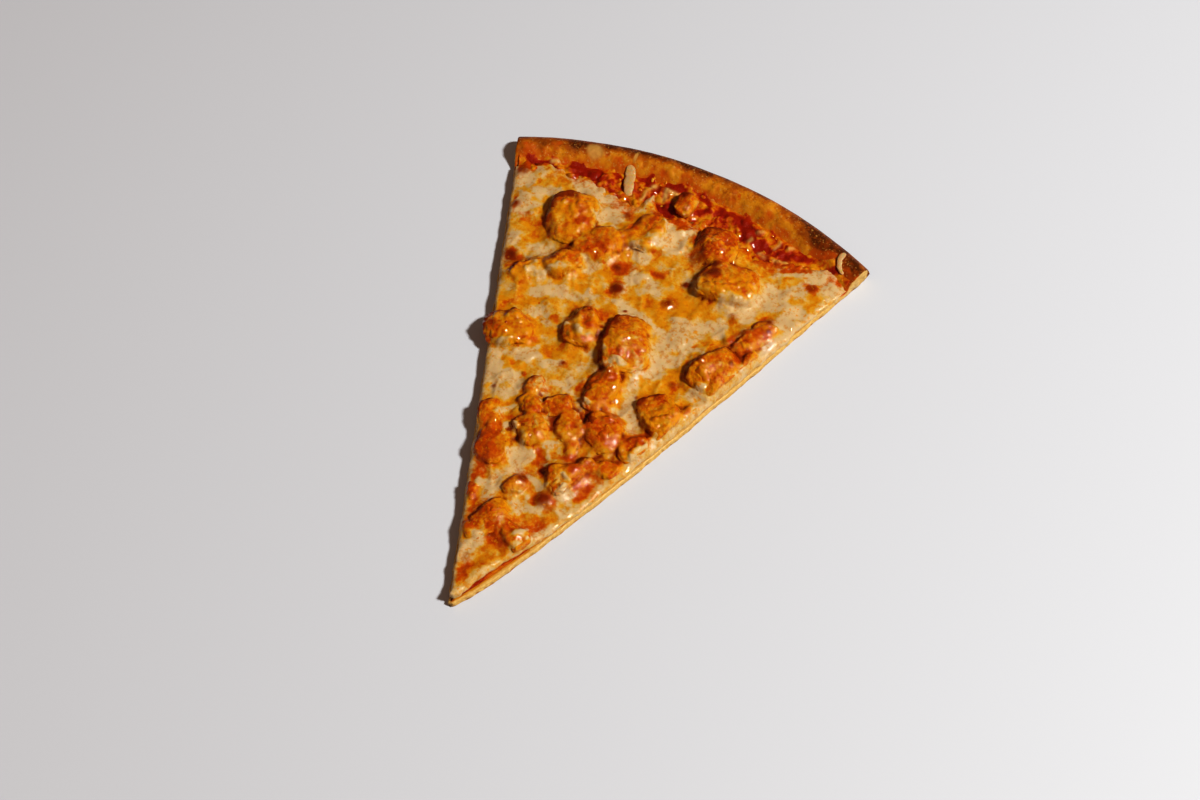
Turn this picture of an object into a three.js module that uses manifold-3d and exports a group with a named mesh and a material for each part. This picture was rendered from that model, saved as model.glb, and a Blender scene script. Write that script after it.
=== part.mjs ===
// A large slice of thin-crust pizza: a baked dough base with a low rim, tomato sauce, melted cheese, two
// unmelted shreds of cheese and diced chicken set into the cheese. Every piece is its own closed solid.
// Millimetres, +Z up. The slice lies flat, its tip towards -Y and its rim towards +Y, and the origin is
// under the middle of its bounding box.
import * as THREE from "three";
import { mergeVertices } from "three/addons/utils/BufferGeometryUtils.js";
import Module from "manifold-3d";

const wasm = await Module();
wasm.setup();

// The slice seen from above: a sector of a 24 inch pizza, cut by hand.
const SLICE_RADIUS = 307;
const TIP_RADIUS = 3;
const HALF_ANGLE = THREE.MathUtils.degToRad(21.3);
const RIGHT_BOW = 6; // how far the right-hand cut swings out of the straight
const CORNER_DROP = 5; // how much shorter the slice is at its two rim corners
const COLUMNS = 16; // steps across each layer
const GAP = 0.3; // between two solids that touch

// The dough.
const BASE_THICKNESS = 3.5;
const RIM_WIDTH = 22;
const RIM_HEIGHT = 11.2;
const RIM_UNEVENNESS = 0.8;
const CREST_SHARE = 0.6; // where the rim is highest, as a share of its width
const EDGE_UNDERCUT = 4; // the outer edge curves up off the tray over this width
const EDGE_LIFT = 2;

// The layers on it.
const SAUCE_RADIUS = SLICE_RADIUS - RIM_WIDTH;
const SAUCE_THICKNESS = 0.8;
const CHEESE_RADIUS = 268;
const CHEESE_RAGGEDNESS = 5;
const CHEESE_THICKNESS = 2.6;
const CHEESE_RELIEF = 0.5;
const CHEESE_INSET = 0.8; // the cheese draws back this far from the cuts
const TIP_SPREAD = 3; // and this much further beside the tip, where the dough spread to the right
const TIP_SPREAD_RADIUS = 28;

const SAUCE_BOTTOM = BASE_THICKNESS + GAP;
const SAUCE_TOP = SAUCE_BOTTOM + SAUCE_THICKNESS;
const CHEESE_BOTTOM = SAUCE_TOP + GAP;
const CHEESE_TOP = CHEESE_BOTTOM + CHEESE_THICKNESS;

// The chicken: where each piece lies, across from the centre line and along from the tip, its size, how far
// it stands above the cheese, and the turn of its long side from the across direction, in degrees.
const PIECE_BOTTOM = CHEESE_BOTTOM + 1;
const PIECE_SQUARENESS = 2.7; // 2 is an ellipsoid, and a higher power is boxier
const PIECE_UNEVENNESS = 0.07;
const CHICKEN = [
  { across: -53, along: 238, long: 33, wide: 26, tall: 8, turn: 100 },
  { across: -31, along: 228, long: 26, wide: 20, tall: 7, turn: 60 },
  { across: -44, along: 209, long: 24, wide: 17, tall: 6, turn: 50 },
  { across: -59, along: 196, long: 19, wide: 12, tall: 5, turn: 60 },
  { across: -11, along: 248, long: 25, wide: 21, tall: 6, turn: 100 },
  { across: 0, along: 276, long: 16, wide: 11, tall: 5, turn: 100 },
  { across: 28, along: 256, long: 27, wide: 22, tall: 7, turn: 100 },
  { across: 45, along: 234, long: 34, wide: 25, tall: 9, turn: 20 },
  { across: 72, along: 210, long: 26, wide: 12, tall: 5, turn: 65 },
  { across: 62, along: 182, long: 30, wide: 24, tall: 8, turn: 80 },
  { across: 77, along: 193, long: 15, wide: 10, tall: 5, turn: 90 },
  { across: 12, along: 175, long: 36, wide: 27, tall: 10, turn: 110 },
  { across: -14, along: 176, long: 25, wide: 20, tall: 7, turn: 100 },
  { across: -49, along: 158, long: 27, wide: 23, tall: 7, turn: 30, overhangs: true },
  { across: 13, along: 142, long: 26, wide: 18, tall: 7, turn: 100 },
  { across: 47, along: 142, long: 26, wide: 20, tall: 7, turn: 120 },
  { across: 60, along: 151, long: 12, wide: 9, tall: 3, turn: 30 },
  { across: 26, along: 122, long: 25, wide: 19, tall: 7, turn: 150 },
  { across: 44, along: 119, long: 17, wide: 13, tall: 5, turn: 60 },
  { across: -20, along: 131, long: 15, wide: 11, tall: 5, turn: 70 },
  { across: -16, along: 119, long: 17, wide: 12, tall: 6, turn: 170 },
  { across: -4, along: 125, long: 15, wide: 12, tall: 6, turn: 40 },
  { across: -9, along: 106, long: 19, wide: 15, tall: 6, turn: 160 },
  { across: 8, along: 117, long: 17, wide: 14, tall: 6, turn: 110 },
  { across: 15, along: 105, long: 13, wide: 8, tall: 3, turn: 100 },
  { across: -35, along: 106, long: 17, wide: 14, tall: 5, turn: 110 },
  { across: -23, along: 90, long: 23, wide: 17, tall: 5, turn: 110 },
  { across: 19, along: 88, long: 21, wide: 18, tall: 7, turn: 60 },
  { across: 27, along: 99, long: 13, wide: 9, tall: 5, turn: 30 },
  { across: 37, along: 102, long: 15, wide: 10, tall: 4, turn: 20 },
  { across: -1, along: 74, long: 13, wide: 10, tall: 4, turn: 70 },
  { across: -3, along: 53, long: 20, wide: 16, tall: 6, turn: 60 },
  { across: -9, along: 41, long: 12, wide: 8, tall: 3, turn: 160 },
  { across: 13, along: 47, long: 19, wide: 12, tall: 4, turn: 150 },
  { across: -19, along: 61, long: 10, wide: 6, tall: 3, turn: 110 },
];

// The shreds: bent sticks that lie on the sauce and the rim, given from above by three points.
const SHREDS = [
  {
    width: 5.2,
    thickness: 3,
    bend: [[-34, 269], [-37, 280], [-43, 288]],
  },
  {
    width: 2.6,
    thickness: 2.2,
    bend: [[99, 269], [89, 274], [93, 283]],
  },
];
const SHRED_STEPS = 7;
const SHRED_SIDES = 8;
const SHRED_CLEARANCE = 0.7; // between a shred and what it lies on

// The hand-stretched outline: the radius of the true circle shortened towards the corners.
const shorten = (angle) => 1 - (CORNER_DROP / SLICE_RADIUS) * (angle / HALF_ANGLE) ** 2;

// The origin is under the middle of the bounding box, so the tip lies half the length behind it.
const TIP_ALONG = TIP_RADIUS * shorten(HALF_ANGLE) * Math.cos(HALF_ANGLE);
const TIP_TO_ORIGIN = (SLICE_RADIUS + TIP_ALONG) / 2;
const place = (across, along, height) => [across, along - TIP_TO_ORIGIN, height];

// The angle from the centre line at a share from 0, the left-hand cut, to 1, the right-hand cut.
function cutAngle(r, share, inset, spread) {
  const reach = Math.min(1, Math.max(0, r - TIP_RADIUS) / (SLICE_RADIUS - TIP_RADIUS));
  const bow = RIGHT_BOW * Math.sin(Math.PI * reach ** 0.6);
  const retreat = spread * Math.exp(-(((r - TIP_SPREAD_RADIUS) / 20) ** 2));
  const left = HALF_ANGLE - inset / r;
  const right = HALF_ANGLE + (bow - inset - retreat) / r;
  return THREE.MathUtils.lerp(-left, right, share);
}

// Even steps from one number to another, both ends included.
const steps = (from, to, count) =>
  Array.from({ length: count + 1 }, (_, i) => THREE.MathUtils.lerp(from, to, i / count));

// A closed layer over the slice: rows at the given radii, columns between the cuts, and a wall all round.
// It is set in from both cuts, and from the right-hand one by the spread too. stretch scales a row's radius.
function layer({ radii, bottom, top, inset = 0, spread = 0, stretch = shorten }) {
  const points = [];
  const triangles = [];
  const row = COLUMNS + 1;
  const sheet = radii.length * row;
  for (const height of [top, bottom]) {
    for (const radius of radii) {
      for (const share of steps(0, 1, COLUMNS)) {
        const angle = cutAngle(radius, share, inset, spread);
        const r = radius * stretch(angle, radius);
        points.push(place(r * Math.sin(angle), r * Math.cos(angle), height(radius, angle)));
      }
    }
  }
  const quad = (a, b, c, d) => triangles.push([a, b, c], [a, c, d]);
  const at = (i, j) => i * row + j;
  for (let i = 0; i + 1 < radii.length; i++) {
    for (let j = 0; j < COLUMNS; j++) {
      quad(at(i, j), at(i, j + 1), at(i + 1, j + 1), at(i + 1, j));
      quad(sheet + at(i, j), sheet + at(i + 1, j), sheet + at(i + 1, j + 1), sheet + at(i, j + 1));
    }
  }
  const last = radii.length - 1;
  const wall = (a, b) => quad(a, sheet + a, sheet + b, b);
  for (let j = 0; j < COLUMNS; j++) {
    wall(at(0, j), at(0, j + 1));
    wall(at(last, j + 1), at(last, j));
  }
  for (let i = 0; i < last; i++) {
    wall(at(i + 1, 0), at(i, 0));
    wall(at(i, COLUMNS), at(i + 1, COLUMNS));
  }
  return new THREE.BufferGeometry()
    .setAttribute("position", new THREE.Float32BufferAttribute(points.flat(), 3))
    .setIndex(triangles.flat());
}

// The dough's top: flat, then a smooth rise to the rim's crest and a round shoulder down to its outer edge.
function doughTop(r, angle) {
  const share = Math.max(0, (r - SAUCE_RADIUS) / RIM_WIDTH);
  const rise = Math.sin((Math.PI / 2) * Math.min(1, share / CREST_SHARE)) ** 1.6;
  const shoulder = Math.sqrt(1 - Math.max(0, (share - CREST_SHARE) / 0.42) ** 2);
  const unevenness = RIM_UNEVENNESS * (1 + Math.sin(17 * angle + 1) * Math.cos(9 * angle));
  const crest = RIM_HEIGHT - BASE_THICKNESS - unevenness;
  return BASE_THICKNESS + crest * Math.min(rise, shoulder);
}

function dough() {
  const underside = (r) => EDGE_LIFT * Math.max(0, (r - SLICE_RADIUS + EDGE_UNDERCUT) / EDGE_UNDERCUT) ** 2;
  const field = steps(TIP_RADIUS, SAUCE_RADIUS, 10);
  const rimShares = [0.15, 0.3, 0.45, CREST_SHARE, 0.75, 0.87, 0.95, 1];
  const rim = rimShares.map((share) => SAUCE_RADIUS + share * RIM_WIDTH);
  return layer({ radii: [...field, ...rim], bottom: underside, top: doughTop });
}

// The tomato sauce, spread up to the rim.
function sauce() {
  return layer({
    radii: steps(TIP_RADIUS + 1, SAUCE_RADIUS - 1, 9),
    bottom: () => SAUCE_BOTTOM,
    top: () => SAUCE_TOP,
    inset: 0.4,
  });
}

// The melted cheese, uneven on top, with a ragged outer edge that leaves a band of sauce bare.
function cheese() {
  const ragged = (angle) =>
    1 - (CHEESE_RAGGEDNESS / CHEESE_RADIUS) * (Math.sin(10 * angle - 0.1) + 0.5 * Math.sin(37 * angle));
  const relief = (r, angle) =>
    CHEESE_RELIEF * (Math.sin(r / 12 + 5 * angle) * Math.cos(r / 18 - 13 * angle) - 0.4);
  return layer({
    radii: steps(TIP_RADIUS + 2, CHEESE_RADIUS, 18),
    bottom: () => CHEESE_BOTTOM,
    top: (r, angle) => CHEESE_TOP + relief(r, angle),
    inset: CHEESE_INSET,
    spread: TIP_SPREAD,
    stretch: (angle, radius) => THREE.MathUtils.lerp(1, ragged(angle), (radius / CHEESE_RADIUS) ** 4),
  });
}

// One diced piece of chicken, a rounded block whose sides waver, grown outwards by a margin.
function piece({ across, along, long, wide, tall, turn }, margin = 0) {
  const deep = CHEESE_TOP - PIECE_BOTTOM + tall;
  const block = new THREE.IcosahedronGeometry(1, 1);
  const corner = block.getAttribute("position");
  const d = new THREE.Vector3();
  for (let i = 0; i < corner.count; i++) {
    d.fromBufferAttribute(corner, i).normalize();
    const power = d.toArray().reduce((sum, c) => sum + Math.abs(c) ** PIECE_SQUARENESS, 0);
    const waver = 1 + PIECE_UNEVENNESS * Math.sin(4 * d.x + along) * Math.cos(5 * d.y + across);
    d.multiplyScalar(waver * power ** (-1 / PIECE_SQUARENESS));
    corner.setXYZ(i, d.x, d.y, d.z);
  }
  block.scale(long / 2 + margin, wide / 2 + margin, deep / 2 + margin);
  block.rotateZ(THREE.MathUtils.degToRad(turn));
  return block.translate(...place(across, along, PIECE_BOTTOM + deep / 2));
}

// A bent stick of cheese that follows the dough beneath it.
function shred({ width, thickness, bend }) {
  const fromAbove = new THREE.QuadraticBezierCurve(...bend.map((point) => new THREE.Vector2(...point)));
  const path = fromAbove.getPoints(SHRED_STEPS).map(({ x, y }) => {
    const angle = Math.atan2(x, y);
    const r = Math.hypot(x, y) / shorten(angle) + width / 2;
    const ground = Math.max(SAUCE_TOP, doughTop(r, angle));
    return new THREE.Vector3(...place(x, y, ground + SHRED_CLEARANCE + thickness / 2));
  });
  const oval = new THREE.Shape().absellipse(0, 0, thickness / 2, width / 2, 0, 2 * Math.PI);
  return new THREE.ExtrudeGeometry(oval, {
    steps: SHRED_STEPS,
    curveSegments: SHRED_SIDES,
    extrudePath: new THREE.CatmullRomCurve3(path),
  });
}

// A three.js geometry as a manifold-3d solid, and back.
function solidOf(geometry) {
  const plain = geometry.clone();
  plain.deleteAttribute("normal");
  plain.deleteAttribute("uv");
  const merged = mergeVertices(plain, 1e-3);
  return new wasm.Manifold(
    new wasm.Mesh({
      numProp: 3,
      vertProperties: merged.getAttribute("position").array,
      triVerts: new Uint32Array(merged.index.array),
    }),
  );
}

function geometryOf(solid) {
  const mesh = solid.getMesh();
  return new THREE.BufferGeometry()
    .setAttribute("position", new THREE.BufferAttribute(mesh.vertProperties, 3))
    .setIndex(new THREE.BufferAttribute(mesh.triVerts, 1));
}

// Materials.
const finish = (color, roughness) => new THREE.MeshStandardMaterial({ color, roughness, metalness: 0 });
const BAKED_DOUGH = finish(0xc98a3f, 0.7);
const TOMATO = finish(0xa3300c, 0.35);
const MELTED_CHEESE = finish(0xe3b66b, 0.4);
const SHREDDED_CHEESE = finish(0xe2c79b, 0.4);
const COOKED_CHICKEN = finish(0xcf6c1c, 0.4);

const slice = new THREE.Group();
function add(name, geometry, material) {
  geometry.computeVertexNormals();
  const mesh = new THREE.Mesh(geometry, material);
  mesh.name = name;
  slice.add(mesh);
}

add("crust", dough(), BAKED_DOUGH);
add("tomato_sauce", sauce(), TOMATO);
SHREDS.forEach((spec, i) => add(`cheese_shred_${i + 1}`, shred(spec), SHREDDED_CHEESE));

// The knife's cuts, as a tall solid that holds everything that stays on the slice.
const withinCuts = solidOf(
  layer({
    radii: steps(TIP_RADIUS, SLICE_RADIUS, 14),
    bottom: () => 0,
    top: () => 3 * RIM_HEIGHT,
    inset: GAP,
  }),
);

// Each piece of chicken gives way to those laid before it, and the cheese to all of them.
let pockets = null;
CHICKEN.forEach((spec, i) => {
  let solid = solidOf(piece(spec));
  if (!spec.overhangs) solid = solid.intersect(withinCuts);
  if (pockets) solid = solid.subtract(pockets);
  const pocket = solidOf(piece(spec, GAP));
  pockets = pockets ? pockets.add(pocket) : pocket;
  add(`chicken_${String(i + 1).padStart(2, "0")}`, geometryOf(solid), COOKED_CHICKEN);
});
add("cheese", geometryOf(solidOf(cheese()).subtract(pockets)), MELTED_CHEESE);

export default slice;
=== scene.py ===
# %% [markdown]
# # A slice of chicken pizza
# A big, thin slice: a dough base with a low rim, a film of tomato sauce, melted cheese that turned golden
# with oil, and diced chicken that sank into it while it baked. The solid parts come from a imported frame,
# which fixes every size and place. This lesson gives each of them the surface of the real food.

# %% Load the frame
import itertools
import math

import bmesh
import bpy
import numpy as np
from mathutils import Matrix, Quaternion, Vector
from mathutils.bvhtree import BVHTree


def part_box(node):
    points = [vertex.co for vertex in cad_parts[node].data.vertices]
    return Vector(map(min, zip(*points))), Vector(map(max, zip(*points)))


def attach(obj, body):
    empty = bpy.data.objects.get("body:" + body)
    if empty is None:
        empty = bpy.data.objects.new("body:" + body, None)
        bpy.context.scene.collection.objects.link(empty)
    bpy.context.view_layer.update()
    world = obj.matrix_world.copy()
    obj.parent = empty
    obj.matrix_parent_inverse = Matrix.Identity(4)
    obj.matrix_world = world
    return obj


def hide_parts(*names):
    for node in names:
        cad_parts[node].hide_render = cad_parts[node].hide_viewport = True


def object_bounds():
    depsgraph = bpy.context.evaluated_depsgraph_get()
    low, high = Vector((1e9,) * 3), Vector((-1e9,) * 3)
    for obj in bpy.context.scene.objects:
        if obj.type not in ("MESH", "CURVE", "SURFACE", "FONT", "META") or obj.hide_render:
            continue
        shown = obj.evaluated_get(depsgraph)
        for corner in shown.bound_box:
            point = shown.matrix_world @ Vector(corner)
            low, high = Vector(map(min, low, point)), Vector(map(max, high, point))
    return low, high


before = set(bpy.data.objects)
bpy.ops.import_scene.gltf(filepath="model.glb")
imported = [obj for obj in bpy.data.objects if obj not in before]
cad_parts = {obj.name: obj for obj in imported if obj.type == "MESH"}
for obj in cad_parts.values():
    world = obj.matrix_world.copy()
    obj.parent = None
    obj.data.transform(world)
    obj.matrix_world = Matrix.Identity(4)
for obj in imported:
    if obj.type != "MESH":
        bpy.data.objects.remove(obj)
cad_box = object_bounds()
print("frame:", len(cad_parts), "nodes, from", tuple(cad_box[0]), "to", tuple(cad_box[1]))

# %% [markdown]
# ## Sizes
# The slice is a sector of a round pizza, so its places are easiest to give from the pizza's centre, which
# is just past the tip: how far across, and how far along towards the rim, in millimetres. The heights of
# the layers are read from the frame.

# %% Sizes of the slice
MM = 0.001
SLICE_RADIUS = 307.0
CORNER_DROP = 5.0  # the slice is this much shorter at its corners
TIP_RADIUS = 3.0
RIM_START = 285.0
CREST_SHARE = 0.6  # where the rim is highest, as a share of its width
RIM_HEIGHT = 11.2
RIGHT_BOW = 6.0  # how far the right-hand cut swings out
TIP_SPREAD = 3.0  # how far the cheese draws back from the cuts beside the tip
CHEESE_RADIUS = 268.0
CHEESE_THICKNESS = 2.6
LAYER_GAP = 0.3  # between one layer and the next

LOW, HIGH = (np.array(corner) / MM for corner in cad_box)
CENTRE = HIGH[1] - SLICE_RADIUS  # the pizza's centre on the frame's Y axis
HALF_ANGLE = math.asin(HIGH[0] / (SLICE_RADIUS - CORNER_DROP))


def heights(node):
    low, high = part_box(node)
    return low.z / MM, high.z / MM


SAUCE_BOTTOM, SAUCE_TOP = heights("tomato_sauce")
CHEESE_BOTTOM = heights("cheese")[0]
CHEESE_TOP = CHEESE_BOTTOM + CHEESE_THICKNESS
BASE_TOP = SAUCE_BOTTOM - LAYER_GAP
print("half angle", round(math.degrees(HALF_ANGLE), 2), "degrees")
print("sauce from", SAUCE_BOTTOM, "to", SAUCE_TOP, "mm, cheese from", CHEESE_BOTTOM, "mm")

# %% [markdown]
# ## Noise
# Nothing on food is even. One function gives smooth random hills in two or three dimensions, with a
# number for their size, and every uneven thing below is made from it. The numbers it starts from are fixed,
# so each run gives the same slice.

# %% Smooth noise, ramps and soft ellipses
HASH_PRIMES = (73856093, 19349663, 83492791)
HASH_SEED_STEP, HASH_START = 2654435761, 12345
HASH_MIXERS = ((15, 1103515245), (13, 69069))  # shift, then multiply
HASH_DROP, HASH_BITS = 9, 0xFFFF
TURN_COS, TURN_SIN = 0.8, 0.6  # each octave is turned, so that no grid shows
NOISE_SHIFT = 37.7
NOISE_GAIN = 1.4


def hills(coords, seed):
    cells = [np.floor(c).astype(np.int64) for c in coords]
    parts = [c - cell for c, cell in zip(coords, cells)]
    eases = [p * p * p * (p * (p * 6 - 15) + 10) for p in parts]
    total = np.zeros(np.shape(coords[0]))
    for corner in itertools.product((0, 1), repeat=len(coords)):
        code = np.full(total.shape, seed * HASH_SEED_STEP + HASH_START, np.int64)
        weight = np.ones(total.shape)
        for cell, ease, bit, prime in zip(cells, eases, corner, HASH_PRIMES):
            code ^= (cell + bit) * prime
            weight *= ease if bit else 1 - ease
        for shift, factor in HASH_MIXERS:
            code = (code ^ (code >> shift)) * factor
        total += weight * (((code >> HASH_DROP) & HASH_BITS) / HASH_BITS * 2 - 1)
    return total


def noise(coords, size, seed, octaves=3, fade=0.5):
    total = np.zeros(np.shape(coords[0]))
    strength = 1.0
    for octave in range(octaves):
        turned = list(coords)
        turned[0] = coords[0] * TURN_COS + coords[1] * TURN_SIN
        turned[1] = coords[1] * TURN_COS - coords[0] * TURN_SIN
        coords = turned
        total += strength * hills([c / size + NOISE_SHIFT for c in coords], seed + octave)
        size *= 0.5
        strength *= fade
    return total * NOISE_GAIN


def ramp(value, low, high):
    share = np.clip((value - low) / (high - low), 0, 1)
    return share * share * (3 - 2 * share)


def ellipse(x, y, across, along, long, wide, turn):
    """0 at the middle of an ellipse, 1 on its edge, and more outside it."""
    c, s = math.cos(math.radians(turn)), math.sin(math.radians(turn))
    u, v = (x - across) * c + (y - along) * s, (y - along) * c - (x - across) * s
    return np.hypot(u * 2 / long, v * 2 / wide)


sample = noise([np.linspace(0, 500, 5000), np.zeros(5000)], 9, 1)
print("noise runs from", round(float(sample.min()), 2), "to", round(float(sample.max()), 2))

# %% [markdown]
# ## A map of the slice
# Much of the look depends on what is near: cheese climbs the sides of a lump, and oil gathers round it.
# That is simplest to work out on a map seen from above, a grid of half-millimetre cells, which the surfaces
# then read at their own points.

# %% The map and how to read it
CELL = 0.5
MARGIN = 8
MAP_X = np.arange(LOW[0] - MARGIN, HIGH[0] + MARGIN, CELL)
MAP_Y = np.arange(-6, SLICE_RADIUS + MARGIN, CELL)
X, Y = np.meshgrid(MAP_X, MAP_Y)


def read(field, x, y):
    u = np.clip((x - MAP_X[0]) / CELL, 0, len(MAP_X) - 1.001)
    v = np.clip((y - MAP_Y[0]) / CELL, 0, len(MAP_Y) - 1.001)
    i, j = u.astype(int), v.astype(int)
    du, dv = u - i, v - j
    near = field[j, i] * (1 - du) + field[j, i + 1] * du
    far = field[j + 1, i] * (1 - du) + field[j + 1, i + 1] * du
    return near * (1 - dv) + far * dv


def blur(field, size):
    reach = int(3 * size / CELL)
    weights = np.exp(-0.5 * (np.arange(-reach, reach + 1) * CELL / size) ** 2)
    weights /= weights.sum()
    for axis in (0, 1):
        padding = [(0, 0), (0, 0)]
        padding[axis] = (reach, reach)
        padded = np.pad(field, padding, mode="edge")
        length = field.shape[axis]
        field = sum(w * np.take(padded, range(k, k + length), axis) for k, w in enumerate(weights))
    return field


print("map:", X.shape, "cells")

# %% [markdown]
# ## The outline
# Two cuts run from the tip to the rim. The left one is straight. The right one swings out a little, and
# beside the tip the dough spread further than the cheese. The outer edge was stretched by hand, so it is
# rounder than a true circle.

# %% Cuts, radius and rim
SPREAD_AT, SPREAD_REACH = 28, 20  # where the cheese draws back, and over how long


def shorten(angle):
    return 1 - CORNER_DROP / SLICE_RADIUS * (angle / HALF_ANGLE) ** 2


def cut_angles(r, inset=0.0, spread=0.0):
    reach = np.clip((r - TIP_RADIUS) / (SLICE_RADIUS - TIP_RADIUS), 0, 1)
    bow = RIGHT_BOW * np.sin(math.pi * reach**0.6)
    retreat = spread * np.exp(-(((r - SPREAD_AT) / SPREAD_REACH) ** 2))
    return -HALF_ANGLE + inset / r, HALF_ANGLE + (bow - inset - retreat) / r


def to_polar(x, y):
    angle = np.arctan2(x, np.maximum(y, 0.1))
    return np.hypot(x, y) / shorten(angle), angle


def cut_distance(x, y, inset=0.0, spread=0.0):
    r, angle = to_polar(x, y)
    left, right = cut_angles(np.maximum(r, 1), inset, spread)
    return r * (angle - left), r * (right - angle)


def dough_top(r, angle):
    share = np.maximum(0, (r - RIM_START) / (SLICE_RADIUS - RIM_START))
    rise = np.sin(math.pi / 2 * np.minimum(1, share / CREST_SHARE)) ** 1.6
    shoulder = np.sqrt(np.maximum(0, 1 - (np.maximum(0, share - CREST_SHARE) / (1 - CREST_SHARE)) ** 2))
    unevenness = 0.8 * (1 + np.sin(17 * angle + 1) * np.cos(9 * angle))
    crest = RIM_HEIGHT - BASE_TOP - unevenness
    inner, outer = crest * rise, (crest + 1.0) * shoulder - 1.0
    return BASE_TOP + np.where(share < CREST_SHARE, inner, outer)


crest_radius = RIM_START + CREST_SHARE * (SLICE_RADIUS - RIM_START)
print("rim stands", round(float(dough_top(np.array([crest_radius]), np.zeros(1))[0]), 1), "mm high")

# %% [markdown]
# ## From rows to a closed layer
# Dough, sauce and cheese are all slabs with the same outline, so one function builds them. It walks from
# the tip to the rim in rows. Each row is a loop: across the top, down the right-hand cut, back underneath
# and up the left-hand cut. Rows near the tip are short and hold few points, and rows near the rim hold
# many, so neighbouring rows are zipped together point by point.

# %% Loops zipped into a mesh
EDGE_STEPS = np.array([0, 0.2, 0.5, 0.9, 1.4, 2.0, 2.7])  # closer points where a layer rounds over
NARROW = 9  # layers narrower than this get smaller edges


def even(start, end, spacing):
    count = max(2, int(math.ceil(abs(end - start) / spacing)) + 1)
    return np.linspace(start, end, count)


def shares_across(width, spacing):
    steps = EDGE_STEPS * min(1, width / NARROW)
    count = max(4, 4 * int(round((width - 2 * steps[-1]) / spacing / 4)))
    middle = np.linspace(steps[-1], width - steps[-1], count)
    return np.concatenate([steps[:-1], middle, width - steps[-2::-1]]) / width


def zip_rows(a, b, faces):
    if len(a) == len(b):
        faces += [(a[k], a[k + 1], b[k + 1], b[k]) for k in range(len(a) - 1)]
        return
    i = j = 0
    while i < len(a) - 1 or j < len(b) - 1:
        a_next = (i + 1) / (len(a) - 1) if i < len(a) - 1 else 2
        b_next = (j + 1) / (len(b) - 1) if j < len(b) - 1 else 2
        if a_next < b_next:
            faces.append((a[i], a[i + 1], b[j]))
            i += 1
        else:
            faces.append((a[i], b[j + 1], b[j]))
            j += 1


def loft(rows):
    """rows: for each row its four sides, each an array of points whose last is the next side's first."""
    points, faces = [], []
    before = None
    start = 0
    for row in rows:
        sides, count = [], sum(len(side) - 1 for side in row)
        at = 0
        for side in row:
            index = (at + np.arange(len(side))) % count + start
            sides.append(index.tolist())
            at += len(side) - 1
            points.append(side[:-1])
        if before:
            for a, b in zip(before, sides):
                zip_rows(a, b, faces)
        else:
            zip_rows(sides[2][::-1], sides[0], faces)
            faces += [tuple(sides[k][::-1]) for k in (1, 3) if len(sides[k]) > 2]
        before = sides
        start += count
    zip_rows(before[0], before[2][::-1], faces)
    faces += [tuple(before[k]) for k in (1, 3) if len(before[k]) > 2]
    return np.concatenate(points), faces


def mesh_piece(name, points, faces, paints):
    mesh = bpy.data.meshes.new(name)
    place = np.array(points, float)
    place[:, 1] += CENTRE
    mesh.from_pydata((place * MM).tolist(), [], faces)
    for label, values in paints.items():
        mesh.attributes.new(label, "FLOAT", "POINT").data.foreach_set("value", values.astype(np.float32))
    mesh.shade_smooth()
    piece = bpy.data.objects.new(name, mesh)
    bpy.context.scene.collection.objects.link(piece)
    return piece


def stand_for(piece, slot, *nodes):
    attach(piece, "root")
    if nodes:
        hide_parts(*nodes)
    triangles = sum(len(face.vertices) - 2 for face in piece.data.polygons)
    print(piece.name, "has", triangles, "triangles")


print("a row 100 mm wide has", len(shares_across(100, 1)), "points")

# %% [markdown]
# ## Chicken
# The chicken was cut in cubes, tossed in an orange sauce and baked, so each piece is a rounded block with a
# few flat knife cuts, lobes where it shrank, and fine fibres along it. A ball is pushed out to a rounded
# block, planed by a few random cuts and roughened with noise. A subdivided cube would give cleaner corners,
# but a ball has no poles or seams where the noise would show them.

# %% Where each piece of chicken lies
FULLNESS = 1.06  # noise and cuts take a little off, so the blocks start a little larger
chicken_nodes = sorted(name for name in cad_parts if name.startswith("chicken_"))


def block_of(node):
    points = np.array([v.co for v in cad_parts[node].data.vertices]) / MM
    points[:, 1] -= CENTRE
    spread = np.cov(points[:, :2].T)
    long_axis = np.linalg.eigh(spread)[1][:, 1]
    turn = math.atan2(long_axis[1], long_axis[0])
    axes = np.array([[math.cos(turn), math.sin(turn)], [-math.sin(turn), math.cos(turn)]])
    flat = points[:, :2] @ axes.T
    low, high = flat.min(0), flat.max(0)
    middle = (low + high) / 2 @ axes
    bottom, top = points[:, 2].min(), points[:, 2].max()
    return {
        "middle": np.array([*middle, (bottom + top) / 2]),
        "half": np.array([*(high - low) / 2 * FULLNESS, (top - bottom) / 2]),
        "axes": axes,
    }


blocks = {node: block_of(node) for node in chicken_nodes}
# how red each piece is glazed, and how much of it the cheese left bare
TONES = (0.25, 0.6, 0.45, 0.4, 0.5, 0.75, 0.5, 0.4, 0.6, 0.65, 0.5, 0.55, 0.45, 0.3, 0.75, 0.2, 0.3, 0.8)
TONES += (0.65, 0.4, 0.5, 0.75, 0.25, 0.55, 0.3, 0.45, 0.65, 0.5, 0.25, 0.6, 0.7, 0.35, 0.5, 0.5, 0.6)
BARE = (0.9, 0.35, 0.15, 0.1, 0.2, 0.7, 0.7, 0.5, 0.6, 0.9, 0.7, 0.65, 0.4, 0.5, 0.8, 0.9, 0.3, 0.9)
BARE += (0.6, 0.6, 0.9, 0.9, 0.9, 0.8, 0.2, 0.8, 0.7, 0.8, 0.8, 0.8, 0.3, 0.8, 0.6, 0.3, 0.8)
for block, tone, bare in zip(blocks.values(), TONES, BARE):
    block["tone"], block["bare"] = tone, bare
longest = max(block["half"][0] * 2 for block in blocks.values())
print(len(blocks), "pieces of chicken, the largest", round(longest, 1), "mm long")

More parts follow.
